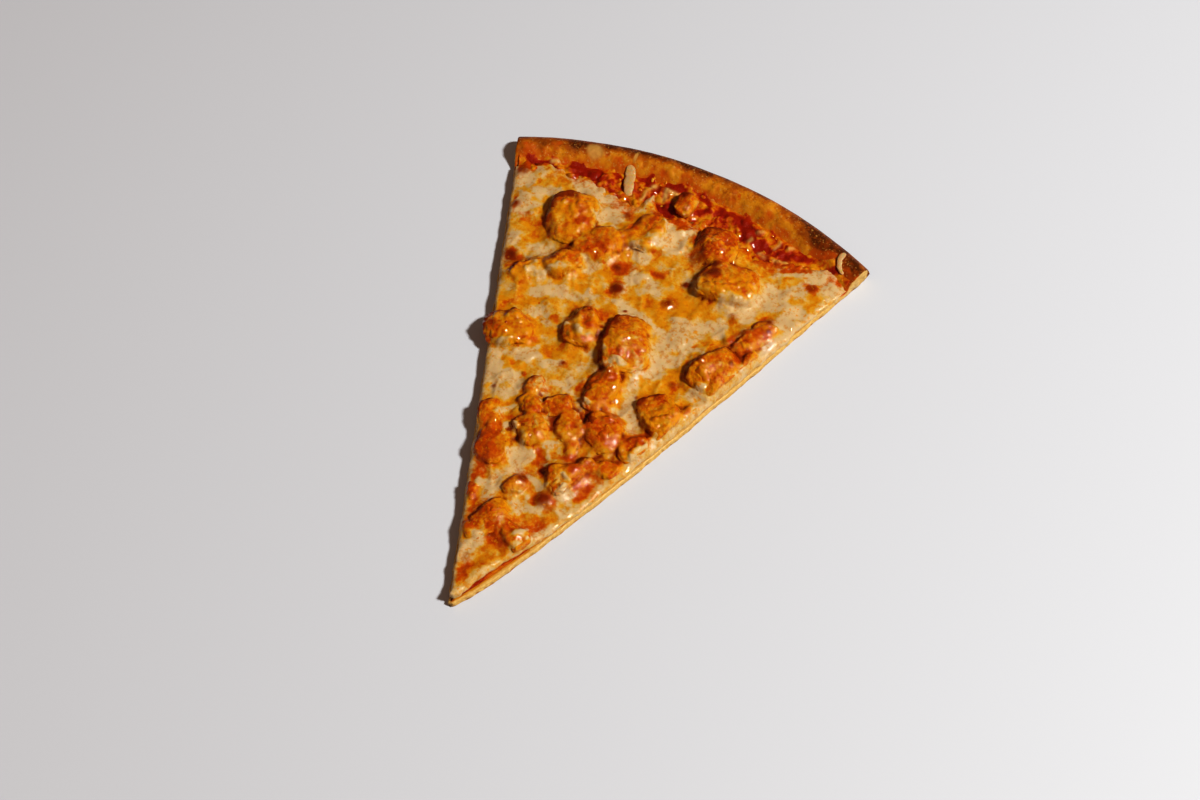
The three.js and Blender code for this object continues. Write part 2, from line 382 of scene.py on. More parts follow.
# %% [markdown]
# ## Shaping a piece of chicken
# Seven knife cuts are enough to lose the ball without making a crystal of it. Each cut is softened where it
# meets the next, because baking rounds every corner. Two pieces never get the same cuts.

# %% Pushing a ball out to a piece of chicken
SQUARENESS = 3.0
KNIFE_CUTS = 7
CUT_DEPTHS = 0.74, 0.95  # as shares of the ball's radius
LARGE_LUMP = 9  # half as long as a piece that needs a finer ball
TYPICAL_HALF = 12
LUMP_CLEARANCE = 0.2
OVERHANGING = "chicken_14"  # this piece leans out over a cut


def soft_limit(value, limit, sharpness=14):
    return (value**-sharpness + limit**-sharpness) ** (-1 / sharpness)


def chicken_points(block, seed):
    random = np.random.default_rng(seed)
    ball = bmesh.new()
    fineness = 6 if block["half"][0] > LARGE_LUMP else 5
    bmesh.ops.create_icosphere(ball, subdivisions=fineness, radius=1)
    way = np.array([v.co for v in ball.verts])
    faces = [tuple(v.index for v in face.verts) for face in ball.faces]
    ball.free()
    reach = (np.abs(way) ** SQUARENESS).sum(1) ** (-1 / SQUARENESS)
    for cut in range(KNIFE_CUTS):
        plane = random.normal(size=3)
        if cut == 0:
            plane = np.array([0.2, 0.2, 1.0]) * random.uniform(-1, 1, 3) + (0, 0, 2)
        plane[2] = abs(plane[2]) * 0.8
        plane /= np.linalg.norm(plane)
        facing = way @ plane
        limit = random.uniform(*CUT_DEPTHS) / np.maximum(facing, 0.05)
        reach = np.where(facing > 0.1, soft_limit(reach, limit), reach)
    local = way * reach[:, None] * block["half"]
    u, v, w = (local[:, k] + seed * 31.0 for k in range(3))
    size = min(1, block["half"][0] / TYPICAL_HALF)
    bump = size * noise([u, v, w], 9 * size + 2, seed, 2)
    bump += 0.36 * noise([u, v, w], 3.0, seed + 5, 2)
    bump += 0.17 * noise([u, v, w], 1.5, seed + 9, 1)
    local += way * bump[:, None]
    local[:, :2] = local[:, :2] @ block["axes"]
    return local + block["middle"], faces, bump


def keep_off_cuts(points, left_inset, right_inset, softness):
    """Squeezes what lies too near a cut back inside, so that it ends round."""
    r, angle = to_polar(points[:, 0], points[:, 1])
    left, right = cut_angles(r, left_inset)[0], cut_angles(r, right_inset)[1]
    soft = softness / r
    over = np.maximum(0, angle - right + soft)
    kept = np.where(over > 0, right - soft + soft * np.tanh(over / soft), angle)
    over = np.maximum(0, left + soft - kept)
    kept = np.where(over > 0, left + soft - soft * np.tanh(over / soft), kept)
    scale = r * shorten(kept)
    points[:, 0], points[:, 1] = scale * np.sin(kept), scale * np.cos(kept)


chicken = {}
for k, node in enumerate(chicken_nodes):
    points, faces, bump = chicken_points(blocks[node], 11 * k + 3)
    if node != OVERHANGING:
        keep_off_cuts(points, left_inset=0.6, right_inset=2.4, softness=3.0)
    points[:, 2] = np.maximum(points[:, 2], SAUCE_TOP + LUMP_CLEARANCE)
    chicken[node] = (points, faces, bump)
print("shaped", len(chicken), "pieces,", sum(len(c[0]) for c in chicken.values()), "points")

# %% [markdown]
# ## How high things stand
# Rays dropped on every piece of chicken give the map of their tops. Blurring that map gives the soft fillet
# that melted cheese makes against a lump, and the places where oil collects.

# %% Tops of the chicken on the map
RAY_START = 60
DOWN = Vector((0, 0, -1))
lump_top = np.full(X.shape, CHEESE_TOP)
covered, lump_tone, lump_bare = (np.zeros(X.shape) for _ in range(3))
for node, (points, faces, _) in chicken.items():
    tree = BVHTree.FromPolygons(points.tolist(), faces)
    (x0, y0), (x1, y1) = points[:, :2].min(0), points[:, :2].max(0)
    for j in np.flatnonzero((MAP_Y >= y0) & (MAP_Y <= y1)):
        for i in np.flatnonzero((MAP_X >= x0) & (MAP_X <= x1)):
            hit = tree.ray_cast(Vector((MAP_X[i], MAP_Y[j], RAY_START)), DOWN)[0]
            if hit and hit.z > lump_top[j, i]:
                lump_top[j, i] = hit.z
                covered[j, i] = 1
                lump_tone[j, i], lump_bare[j, i] = blocks[node]["tone"], blocks[node]["bare"]
near_lump = blur(covered, 2.2)
lump_tone = blur(lump_tone, 2.2) / np.maximum(near_lump, 0.02)
lump_bare = blur(lump_bare, 1.0) / np.maximum(blur(covered, 1.0), 0.02)
print("chicken covers", round(covered.mean() * X.size * CELL**2 / 100, 1), "square cm")

# %% [markdown]
# ## What the cheese looks like where
# Between the lumps the cheese is cream where it pooled thick, golden where oil rose through it, and orange
# where sauce and chicken stained it. The main patches and the browned blisters are listed one by one, as a
# decorator would block them in, and noise bends their edges.

# %% Patches of cream, oil and stain
CREAM_POOLS = [  # across, along, long, wide, turn
    (-52, 264, 20, 13, 0), (-46, 260, 11, 12, 0), (-87, 262, 26, 7, 60), (-79, 252, 18, 8, 5),
    (-83, 241, 16, 10, 95), (-34, 250, 15, 8, 20), (-67, 212, 18, 8, 0), (-29, 213, 19, 11, 55),
    (-42, 202, 13, 7, 10), (-53, 196, 17, 10, 35), (-44, 188, 28, 11, 5), (-3, 196, 36, 7, 3),
    (17, 195, 22, 5, -12), (-1, 217, 20, 7, 0), (-4, 245, 17, 9, 75), (6, 251, 13, 11, 0),
    (-8, 234, 15, 8, 110), (33, 189, 32, 12, 105), (37, 177, 26, 15, 90), (53, 206, 13, 9, 20),
    (54, 222, 24, 12, 5), (64, 232, 18, 12, 20), (77, 243, 25, 17, 60), (86, 229, 24, 12, 75),
    (96, 256, 12, 7, 75), (73, 258, 17, 5, 25), (86, 262, 9, 11, 0), (31, 226, 11, 9, 30),
    (-13, 171, 15, 8, 0), (6, 163, 14, 5, -35), (15, 162, 10, 5, 0), (56, 165, 14, 8, 40),
    (82, 209, 18, 6, 75), (48, 190, 18, 4, 85), (-19, 275, 20, 6, 105), (-34, 152, 12, 9, 0),
    (-40, 146, 20, 8, 0), (-49, 143, 11, 9, 0), (-45, 132, 21, 11, 110), (-33, 127, 17, 11, 80),
    (-20, 149, 14, 6, 0), (-2, 137, 17, 6, -15), (25, 152, 18, 10, 90), (31, 138, 16, 10, 125),
    (8, 132, 8, 6, 45), (-27, 112, 13, 5, 60), (-19, 103, 8, 6, 0), (5, 105, 13, 12, 0),
    (7, 97, 11, 5, 95), (-8, 91, 19, 11, 95), (9, 79, 10, 7, 0), (11, 66, 15, 8, 0),
    (-14, 67, 8, 5, 0), (27, 79, 15, 7, 55), (46, 117, 18, 5, 65), (-7, 34, 15, 8, 65),
    (22, 87, 8, 5, 0), (3, 8, 10, 7, 60), (14, 51, 8, 4, 0), (-28, 172, 10, 5, 0), (2, 257, 14, 6, 0),
]  # fmt: skip
OIL_POOLS = [
    (-66, 222, 30, 12, 5), (-74, 261, 13, 11, 0), (6, 207, 20, 9, 0), (30, 214, 34, 14, 0),
    (12, 224, 18, 10, 0), (-18, 211, 20, 7, 0), (-24, 198, 20, 6, 0), (-58, 171, 20, 13, 60),
    (-42, 165, 30, 12, 0), (-20, 156, 30, 8, 0), (44, 163, 18, 9, 10), (27, 199, 16, 7, 0),
    (33, 157, 12, 5, 0), (87, 248, 17, 7, 0), (6, 236, 15, 8, 0), (-36, 137, 14, 12, 0),
    (-43, 121, 12, 6, 0), (2, 95, 16, 6, 90), (15, 74, 17, 15, 0), (14, 60, 20, 5, 0),
    (5, 27, 18, 10, 70), (-60, 250, 14, 6, 0), (60, 212, 10, 8, 0), (-15, 121, 10, 6, 0),
]  # fmt: skip
STAINS = [
    (-72, 231, 22, 9, 25), (-87, 236, 12, 8, 95), (-97, 265, 24, 12, 65), (-66, 246, 18, 6, 70),
    (-36, 224, 20, 9, 60), (-26, 229, 16, 8, 0), (-13, 222, 13, 6, 0), (8, 226, 13, 8, 30),
    (18, 258, 26, 7, 95), (65, 203, 22, 14, 60), (84, 253, 13, 6, -20), (60, 262, 24, 10, 0),
    (35, 264, 20, 8, 0), (-5, 262, 24, 8, 0), (-43, 243, 26, 5, 60), (-55, 176, 24, 5, 65),
    (4, 143, 16, 5, 80), (-20, 130, 24, 10, 20), (22, 122, 34, 16, 0), (40, 124, 18, 12, 0),
    (-27, 95, 30, 12, 95), (-20, 78, 22, 8, 100), (22, 97, 24, 10, 0), (36, 88, 18, 6, 60),
    (-20, 63, 13, 6, 100), (0, 53, 30, 14, 0), (10, 44, 24, 10, 20), (-11, 43, 11, 7, 0),
    (-1, 17, 14, 6, 70), (18, 55, 14, 8, 40), (-25, 270, 30, 6, 15), (102, 265, 16, 6, 75),
]  # fmt: skip
BLISTERS = [  # across, along, size, how dark
    (-9.5, 208, 10, 0.9), (20, 211, 8, 0.7), (57, 217, 8, 0.35), (75, 223, 7, 0.8), (-73, 202, 12, 1.0),
    (-94, 259, 9, 0.6), (-15, 221, 6.5, 0.8), (45, 164, 4.5, 0.5), (15.5, 72, 11, 0.75), (83, 203, 3, 0.9),
    (24, 226, 6, 0.9), (-7, 164, 4, 0.6), (-86, 236, 7, 0.7), (100, 277, 12, 0.9), (-13, 151, 5, 0.7),
    (1, 78, 8, 0.8), (9, 87, 5, 0.8), (-18, 186, 7, 0.7), (35, 236, 11, 1.0), (-48, 208, 6, 0.8),
    (-67, 243, 9, 0.6), (31, 149, 3.5, 0.7), (12, 152, 8, 0.5), (1, 196, 3, 0.9), (87, 254, 8, 0.5),
    (-30, 136, 3, 0.6), (-39, 122, 3.5, 0.6), (8, 274, 6.5, 1.0), (-4, 281, 12, 1.0),
    (-26, 255, 7, 0.6), (22, 244, 10, 0.4), (2, 184, 10, 0.7), (-58, 155, 9, 0.7),
    (77, 216, 4, 0.8), (33, 242, 9, 0.8), (68, 187, 5, 0.6),
]  # fmt: skip
bend_x = 2.4 * noise([X, Y], 9, 1, 2) + 0.9 * noise([X, Y], 3.0, 2, 1)
bend_y = 2.4 * noise([X, Y], 9, 3, 2) + 0.9 * noise([X, Y], 3.0, 4, 1)


def patches_at(places, softness):
    field = np.zeros(X.shape)
    for place in places:
        away = ellipse(X + bend_x, Y + bend_y, *place)
        field = np.maximum(field, 1 - ramp(away, 1 - softness, 1 + softness))
    return field


print(len(CREAM_POOLS), "cream pools,", len(OIL_POOLS), "oil pools,", len(STAINS), "stains")

# %% [markdown]
# ## Blisters
# A blister is a bubble of cheese that rose and burnt. Each one is a low round dome, dark on top, with an
# orange halo of oil round it. Only the small ones rise. The large ones are browned places on the chicken.

# %% Domes, burnt spots and halos
TALLEST_DOME = 12  # blisters from this size up are flat
DOME_SHARE = 0.15
brown, halo, blister_rise = (np.zeros(X.shape) for _ in range(3))
for across, along, size, dark in BLISTERS:
    away = ellipse(X + 0.22 * bend_x, Y + 0.22 * bend_y, across, along, size, size, 0)
    brown = np.maximum(brown, dark * (1 - ramp(away, 0.15, 1.15)))
    halo = np.maximum(halo, 1 - ramp(away, 0.9, 1.8))
    if size < TALLEST_DOME:
        blister_rise = np.maximum(blister_rise, DOME_SHARE * size * np.maximum(0, 1 - away**2))
print(len(BLISTERS), "blisters, the highest", round(float(blister_rise.max()), 2), "mm")

# %% [markdown]
# ## Edge, ridges and strands
# The cheese stops short of the rim, further in some directions than in others, so its edge is given as a
# radius for each direction. Melted bridges between lumps are ridges from one place to another. Shreds that
# melted but kept their shape are short bent ridges strewn all over.

# %% Edge, ridges and strands on the map
EDGE_DEGREES = (-21, -17.5, -14.5, -11.5, -8.5, -5.5, -4.2, -2.5, 0, 2.5, 5, 7.5, 10.5, 13, 16, 18, 21)
EDGE_RADII = (281, 283, 279, 277, 267, 264, 280, 265, 266, 269, 265, 268, 268, 272, 278, 286, 284)


def edge_radius(angle):
    return np.interp(np.degrees(angle), EDGE_DEGREES, EDGE_RADII)


R, ANGLE = to_polar(X, Y)


def melted_strands(count, seed, furthest=262):
    """Where shreds of cheese melted but kept a soft ridge: 1 along the middle of each, 0 away from it."""
    random = np.random.default_rng(seed)
    field = np.zeros(X.shape)
    for _ in range(count):
        along = furthest * math.sqrt(random.uniform(0.02, 1))
        turn = random.uniform(-0.95, 0.95) * HALF_ANGLE
        middle = along * math.sin(turn), along * math.cos(turn)
        heading, half = random.uniform(0, math.pi), random.uniform(4, 9)
        width, bow = random.uniform(1.1, 1.8), random.uniform(-0.05, 0.05)
        u = (X - middle[0]) * math.cos(heading) + (Y - middle[1]) * math.sin(heading)
        v = (Y - middle[1]) * math.cos(heading) - (X - middle[0]) * math.sin(heading)
        beyond = np.maximum(0, np.abs(u) - half)
        away = np.hypot(beyond, v - bow * u**2 + 0.3 * bend_x)
        field = np.maximum(field, np.exp(-((away / width) ** 2)))
    return field


RIDGES = [  # from across, along to across, along, width, height above the cheese
    (-31, 228, -44, 209, 14, 6.5), (-44, 209, -62, 194, 12, 5.0), (-31, 228, -13, 246, 13, 5.5),
    (62, 182, 75, 193, 9, 4.0), (60, 203, 75, 214, 7, 3.0), (13, 144, 26, 124, 8, 4.0),
    (-20, 131, -16, 119, 7, 3.5), (-4, 124, -9, 106, 8, 3.0), (8, 117, 15, 105, 6, 3.0),
    (47, 142, 60, 151, 8, 3.5), (19, 88, 37, 102, 7, 2.5), (-34, 107, -23, 92, 8, 3.0),
    (-9, 246, 10, 262, 6, 1.8), (-20, 268, -8, 262, 4, 1.5), (22, 262, 12, 250, 4, 1.2),
]  # fmt: skip


def ridges_at(places):
    field = np.zeros(X.shape)
    for x0, y0, x1, y1, width, tall in places:
        length = math.hypot(x1 - x0, y1 - y0)
        along = ((X - x0) * (x1 - x0) + (Y - y0) * (y1 - y0)) / length**2
        along = np.clip(along, 0, 1)
        off_x = X + 0.3 * bend_x - x0 - along * (x1 - x0)
        off_y = Y + 0.3 * bend_y - y0 - along * (y1 - y0)
        field = np.maximum(field, tall * np.exp(-((np.hypot(off_x, off_y) * 1.7 / width) ** 2)))
    return field


ridges = ridges_at(RIDGES)
on_ridge = ramp(ridges, 1.2, 4.0)
strands = melted_strands(count=150, seed=5)
print(len(RIDGES), "ridges, and strands on", round(100 * float((strands > 0.5).mean()), 1), "% of the map")

# %% [markdown]
# ## How oily and how red
# Two numbers from 0 to 1 say what a place looks like. Oil turns cream to butter and gold. Stain turns it to
# orange and then red. Both gather round the lumps and on the ridges, and both keep off the cream pools.
# The lumps carry a glaze of their own, so that no two are quite the same red.

# %% Oil and stain
cream = patches_at(CREAM_POOLS, 0.5)
mottle = noise([X, Y], 6.5, 6, 3, 0.5)
oil = 0.45 + 0.3 * noise([X, Y], 9, 5, 2) + 0.22 * mottle + 0.5 * np.maximum(near_lump, on_ridge)
oil = np.maximum(oil, patches_at(OIL_POOLS, 0.35) * (0.8 + 0.2 * mottle)) - cream * (0.85 - 0.3 * mottle)
oil = np.clip(oil - 0.35 * strands * ramp(mottle, -0.6, 0.0) + 0.05, 0, 1)
tip_side = 0.3 * (1 - ramp(R, 90, 150))
near_rim = ramp(R - edge_radius(ANGLE), -14, -2)
stain = 0.62 * patches_at(STAINS, 0.4) + 0.5 * near_rim + 0.45 * halo + tip_side
glaze = np.where(near_lump > 0.05, lump_tone, 0.5)
glaze = glaze + 0.3 * noise([X, Y], 5, 12, 2) + 0.22 * noise([X, Y], 1.6, 13, 2)
stain = np.maximum(stain, (0.22 + 0.55 * glaze) * np.maximum(ramp(near_lump, 0.1, 0.6), 0.8 * on_ridge))
stain = stain * (0.9 + 0.2 * mottle) + 0.5 * ramp(mottle, 0.75, 1.3) - 0.75 * cream - 0.2 * strands
stain = np.clip(stain, 0, 1)
print("cream covers", round(100 * float((oil < 0.25)[R < 268].mean())), "% of the map inside the rim")

# %% [markdown]
# ## How high the cheese stands
# The cheese has its own low hills. Against a lump it climbs in a fillet, which is the map of the lumps'
# height, blurred twice: narrow and steep, and wide and shallow. Over a lump it lies as a thin film, which
# tears where the lump stands proud. Slopes on the left, away from the lamp, are browned as painted shade,
# and those on the right, facing the lamp, are washed pale as painted light. The creases beside the lumps
# are browned too, partly as painted shade and partly for oil that pooled there.

# %% Height of the cheese
NARROW_FILLET, WIDE_FILLET, WIDE_SHARE = 1.8, 3.2, 0.92
wet = np.clip(oil * 0.6 + stain, 0, 1)
ground = CHEESE_TOP + 0.75 * noise([X, Y], 11, 7, 2) + 0.32 * noise([X, Y], 4.8, 8, 1)
ground += 0.5 * strands + (0.03 + 0.08 * wet) * noise([X, Y], 2.2, 9, 1)
ground += 0.35 * cream - 0.25 * stain + blister_rise
lump_rise = np.maximum(0, lump_top - ground)
climb = 1.0 + 0.16 * noise([X, Y], 5, 10, 2)
fillet = np.maximum(blur(lump_rise, NARROW_FILLET), WIDE_SHARE * blur(lump_rise, WIDE_FILLET))
skirt = climb * np.maximum(fillet, ridges)
body = blur(lump_rise, 0.6)
crown = ramp(body / np.maximum(blur(body, 5.0) + 2.0, 1), 0.7, 1.2)
film = 0.55 - 1.5 * lump_bare * crown + 1.2 * cream + 0.25 * noise([X, Y], 6, 11, 2)
draped = np.maximum(skirt, (body + film) * ramp(blur(covered, 0.8), 0.5, 0.9))
draped += 0.2 * noise([X, Y], 3.0, 14, 2) * ramp(draped, 0.8, 3.0)
cheese_height = ground + draped
slope_y, slope_x = np.gradient(blur(cheese_height, 0.8), CELL)
rising = slope_x - 0.4 * slope_y  # above 0 where the surface faces left
# painted light: slopes that face the lamp on the right lose some stain and look paler
painted_light = ramp(-rising, 0.15, 1.1) * ramp(draped, 0.8, 3.0)
stain *= 1 - 0.6 * painted_light
whole = np.maximum(cheese_height, lump_top * covered)
# painted shade: creases beside the lumps are browned, partly as shade and partly for oil that pooled there
hollow = (blur(whole, 2.2) - whole) * ramp(blur(covered, 4), 0.25, 0.6)
# painted shade: slopes that face away from the lamp are browned
painted_shade = ramp(rising, 0.25, 1.2) * ramp(draped, 0.5, 2.5)
brown = np.maximum(brown, np.maximum(painted_shade, 0.8 * ramp(hollow, 0.25, 1.3)) * (1 - 0.75 * cream))
print("cheese stands up to", round(float(cheese_height.max()), 1), "mm")

# %% [markdown]
# ## Melted cheese
# The cheese is one slab from cut to cut. Its outer edge is ragged and thin, and at the cuts it rolls over
# in a soft bead, because it ran a little after the knife passed. Its top follows the map.

# %% Build the cheese
CHEESE_SPACING = 0.66
CHEESE_INSET = 0.8
BEAD_RADIUS = 2.6
BEAD_LIP = 1.0
EDGE_MIDDLE = 0.4  # where the side of the slab has one more point, as a share of its height
THIN_EDGE = 0.3
THINNING = 9  # over this far from its outer edge the cheese thins out
UNDER_POINTS = 9


def cheese_edge(angle):
    fine = 1.7 * noise([angle * 260, angle * 0 + 5], 7, 21, 3, 0.7)
    return edge_radius(angle) + fine


def quarter_round(depth, radius):
    inside = np.clip(1 - depth / radius, 0, 1)
    return 1 - np.sqrt(1 - inside**2)


def floor_points(reach, angle, level):
    return np.column_stack([reach * np.sin(angle), reach * np.cos(angle), np.full(len(angle), level)])


def cheese_rows():
    rows = []
    for r in even(TIP_RADIUS + 2, CHEESE_RADIUS, CHEESE_SPACING):
        left, right = cut_angles(r, CHEESE_INSET, TIP_SPREAD)
        left += 0.35 * float(noise([np.array([r]), np.array([0.0])], 7, 31)[0]) / r
        right += 0.45 * float(noise([np.array([r]), np.array([9.0])], 6, 32)[0]) / r
        width = r * (right - left)
        share = shares_across(width, CHEESE_SPACING)
        angle = left + (right - left) * share
        reach = r * (1 + (cheese_edge(angle) / CHEESE_RADIUS - 1) * (r / CHEESE_RADIUS) ** 6)
        x, y = reach * np.sin(angle), reach * np.cos(angle)
        depth = np.minimum(share, 1 - share) * width
        edge = cheese_edge(angle) - reach
        top = read(cheese_height, x, y)
        lip = CHEESE_BOTTOM + BEAD_LIP
        top -= (top - lip) * quarter_round(depth, BEAD_RADIUS * min(1, width / NARROW))
        thin = CHEESE_BOTTOM + THIN_EDGE
        top -= np.maximum(0, top - thin) * quarter_round(edge, THINNING) ** 0.8
        first, last = (CHEESE_BOTTOM + EDGE_MIDDLE * (top[k] - CHEESE_BOTTOM) for k in (0, -1))
        across = np.column_stack([x, y, top])
        under_angle = left + (right - left) * np.linspace(1, 0, UNDER_POINTS)
        under_reach = np.interp(under_angle, angle, reach)
        under = floor_points(under_reach, under_angle, CHEESE_BOTTOM)
        down = np.array([across[-1], [x[-1], y[-1], last], under[0]])
        up = np.array([under[-1], [x[0], y[0], first], across[0]])
        rows.append([across, down, under, up])
    return rows


points, faces = loft(cheese_rows())
x, y, z = points.T
r, angle = to_polar(x, y)
from_left, from_right = cut_distance(x, y, CHEESE_INSET, TIP_SPREAD)
side = np.minimum(from_left, from_right)
bead_left = 1 - ramp(from_left, 1.0, 3.0)
bead_right = 1 - ramp(from_right + 1.2 * noise([x, y], 9, 33, 2), 2.5, 5.5)
bead = np.maximum(bead_left, bead_right)
specked = ramp(read(noise([X, Y], 14, 41, 2), x, y), -0.1, 0.8)
paints = {
    "oil": read(oil, x, y) * (1 - 0.7 * bead),
    "stain": read(stain, x, y) * (1 - 0.85 * bead),
    "brown": read(brown, x, y) * (1 - 0.6 * bead),
    "flecks": specked * (z > CHEESE_BOTTOM + 1) * (side > 1),
    "fleck": 0.25 + 0.75 * ramp(read(noise([X, Y], 16, 42, 2), x, y), -0.5, 0.4),
}
cheese = mesh_piece("melted_cheese", points, faces, paints)
stand_for(cheese, "cheese", "cheese")

# %% [markdown]
# ## Tomato sauce
# The sauce is hidden under the cheese and shows only in a wet red band inside the rim, where it is thick
# and lumpy. There it has fine rows, and elsewhere a few coarse ones are enough. Its edge dives into the
# dough, so the line between them comes out irregular by itself.

# %% Where the sauce is bare, golden or covered with shreds, a few of them painted highlights
SAUCE_DEGREES = (-21, -19, -16, -13.2, -11.4, -8, -4, -1, 1, 3, 6, 9.5, 11, 13.2, 14.5, 16.5, 18, 21)
SAUCE_RADII = (295, 294, 293, 291, 290, 292, 291, 292.5, 293, 289, 290, 291.5, 289.5, 287)
SAUCE_RADII += (289, 294, 297, 294)
RED_POOLS = [  # where the sauce lies bare
    (-64, 278, 25, 8, 8), (-45, 281, 12, 6, 100), (-38, 274, 10, 4, 120), (-29, 287, 9, 5, 20),
    (-24, 286, 9, 5, 90), (-12, 287, 10, 5, 0), (-11, 270, 15, 8, 95), (-5, 267, 10, 5, 0),
    (-3, 292, 14, 4, -5), (5, 289, 14, 6, -20), (12, 284, 12, 5, -45), (22, 283, 20, 6, 0),
    (33, 285, 9, 6, 0), (36, 278, 15, 7, 110), (47, 272, 15, 8, -15), (53, 275, 10, 9, 0),
    (54, 281, 13, 5, -40), (47, 266, 11, 4, -40), (66, 273, 15, 8, 10), (73, 276, 14, 5, 0),
    (82, 277, 9, 4, 60), (-92, 272, 12, 6, 15), (-86, 275, 8, 4, 0), (93, 271, 5, 3, 0),
]  # fmt: skip
GOLD_BANDS = [  # from across, along to across, along, width, strength
    (40, 287, 52, 277, 6, 1.0), (54, 273, 58, 279, 3, 1.0), (63, 273, 66, 277, 3, 1.0),
    (80, 271, 90, 280, 5, 0.9), (0, 287, 7, 281, 4, 0.9), (-26, 270, -24, 279, 4, 1.0),
    (24, 280, 28, 275, 4, 0.8), (-54, 284, -48, 277, 5, 0.9), (13, 287, 15, 281, 3, 1.0),
    (-82, 275, -77, 279, 4, 1.0), (58, 264, 68, 264, 4, 1.0), (-8, 281, -14, 274, 3, 0.9),
    (70, 267, 78, 270, 5, 0.9), (34, 269, 40, 263, 4, 0.9), (-34, 284, -31, 277, 3, 0.7),
    (-78, 272, -70, 268, 6, 1.0),
]  # fmt: skip
# pale strands of cheese on the sauce; a few of them are pale marks that stand in for glints, as painted
# highlights
PALE_STRANDS_AND_GLINTS = [
    (-15, 284, -14, 276, 2.6, 1.0), (-14, 283, -9, 283, 2.4, 0.9), (-25, 270, -24, 277, 1.8, 0.9),
    (-84, 274, -79, 276, 2.4, 0.9), (7, 293, 11, 290, 2.4, 0.6), (73, 280, 80, 282, 2.6, 0.6),
    (60, 263.5, 67, 264.5, 2.4, 0.9), (56, 272, 58, 278, 1.6, 0.7), (64, 274, 66, 276, 1.8, 0.8),
    (34, 268, 39, 262, 1.6, 0.8), (41, 270, 42, 273, 1.6, 0.8), (51, 265, 53, 264, 2.6, 0.8),
    (-22, 283, -23, 280, 2.2, 1.0), (85, 277, 88, 278, 1.8, 0.7), (43, 278, 46, 280, 1.6, 0.6),
]  # fmt: skip
red_pools = patches_at(RED_POOLS, 0.3)
gold = ridges_at(GOLD_BANDS)
# pale: cheese strands, and a few painted highlights
pale = ridges_at(PALE_STRANDS_AND_GLINTS)
grit = ramp(noise([X, Y], 2.8, 56, 3, 0.6), -0.1, 0.9) * (1 - 0.75 * red_pools)
band = ramp(R, 252, 262)
dough_here = dough_top(R, ANGLE)
chunks = np.abs(noise([X, Y], 6.5, 51, 2)) * 1.3 + 0.6 * grit + 0.1 * noise([X, Y], 1.4, 52, 1)
chunks += 0.5 * gold + 0.5 * pale
sauce_rise = band * (0.25 + chunks)
sauce_edge = np.interp(np.degrees(ANGLE), SAUCE_DEGREES, SAUCE_RADII) + 1.4 * noise([X, Y], 6, 53, 2)
at_edge = ramp(R, sauce_edge - 5.5, sauce_edge - 0.5)
climb = dough_here + 0.5 + 0.4 * chunks * (1 - 0.7 * at_edge)
climb -= 1.3 * ramp(R, sauce_edge - 6, sauce_edge + 0.5)  # the edge dives into the dough
sauce_height = np.maximum(SAUCE_TOP + sauce_rise * (1 - ramp(R, 283, 289)), climb * (R > 280))
cheesy = 0.5 + 0.35 * noise([X, Y], 5, 54, 2) + 0.4 * grit - 0.8 * red_pools
cheesy = np.maximum(cheesy, 0.95 * gold)
cheesy = np.clip(cheesy * (1 - at_edge) + (0.66 + 0.2 * grit) * at_edge, 0, 1)
print("sauce stands up to", round(float(sauce_height.max()), 1), "mm")

# %% [markdown]
# ## The sauce as a layer
# Where the cheese hides it the sauce needs only a few points. From where it comes out the rows are fine
# enough to hold its grains.

# %% Build the sauce
SAUCE_INSET = 2.2
SAUCE_START, SAUCE_SHOWS, SAUCE_END = 4, 250, 298
HIDDEN_SPACING = 9


def sauce_rows():
    rows = []
    hidden = even(SAUCE_START, SAUCE_SHOWS, HIDDEN_SPACING)[:-1]
    for r in np.concatenate([hidden, even(SAUCE_SHOWS, SAUCE_END, 0.6)]):
        left, right = cut_angles(r, SAUCE_INSET)
        share = shares_across(r * (right - left), HIDDEN_SPACING if r < SAUCE_SHOWS else 0.62)
        angle = left + (right - left) * share
        reach = r * shorten(angle)
        x, y = reach * np.sin(angle), reach * np.cos(angle)
        across = np.column_stack([x, y, np.maximum(read(sauce_height, x, y), SAUCE_BOTTOM + 0.3)])
        angle = left + (right - left) * np.linspace(1, 0, UNDER_POINTS)
        under = floor_points(r * shorten(angle), angle, SAUCE_BOTTOM)
        rows.append([across, np.array([across[-1], under[0]]), under, np.array([under[-1], across[0]])])
    return rows


points, faces = loft(sauce_rows())
x, y, z = points.T
r_sauce = to_polar(x, y)[0]
cheesy_here = read(cheesy, x, y)
in_band = ramp(r_sauce, 258, 264) * (1 - ramp(r_sauce, 288, 294))
paints = {
    "cheesy": cheesy_here,
    "pale": read(pale, x, y),
    "bits": in_band * (z > SAUCE_TOP) * (0.1 + cheesy_here),
}
sauce = mesh_piece("red_sauce", points, faces, paints)
stand_for(sauce, "sauce", "tomato_sauce")

# %% [markdown]
# ## Dough
# The base is one piece with its rim. The rim is golden where it faces the cheese and brown on its outer
# edge, with small blisters. The two cuts show the crumb: pale, layered and full of small holes, so the cut
# faces get several rows of points that noise pushes in and out.

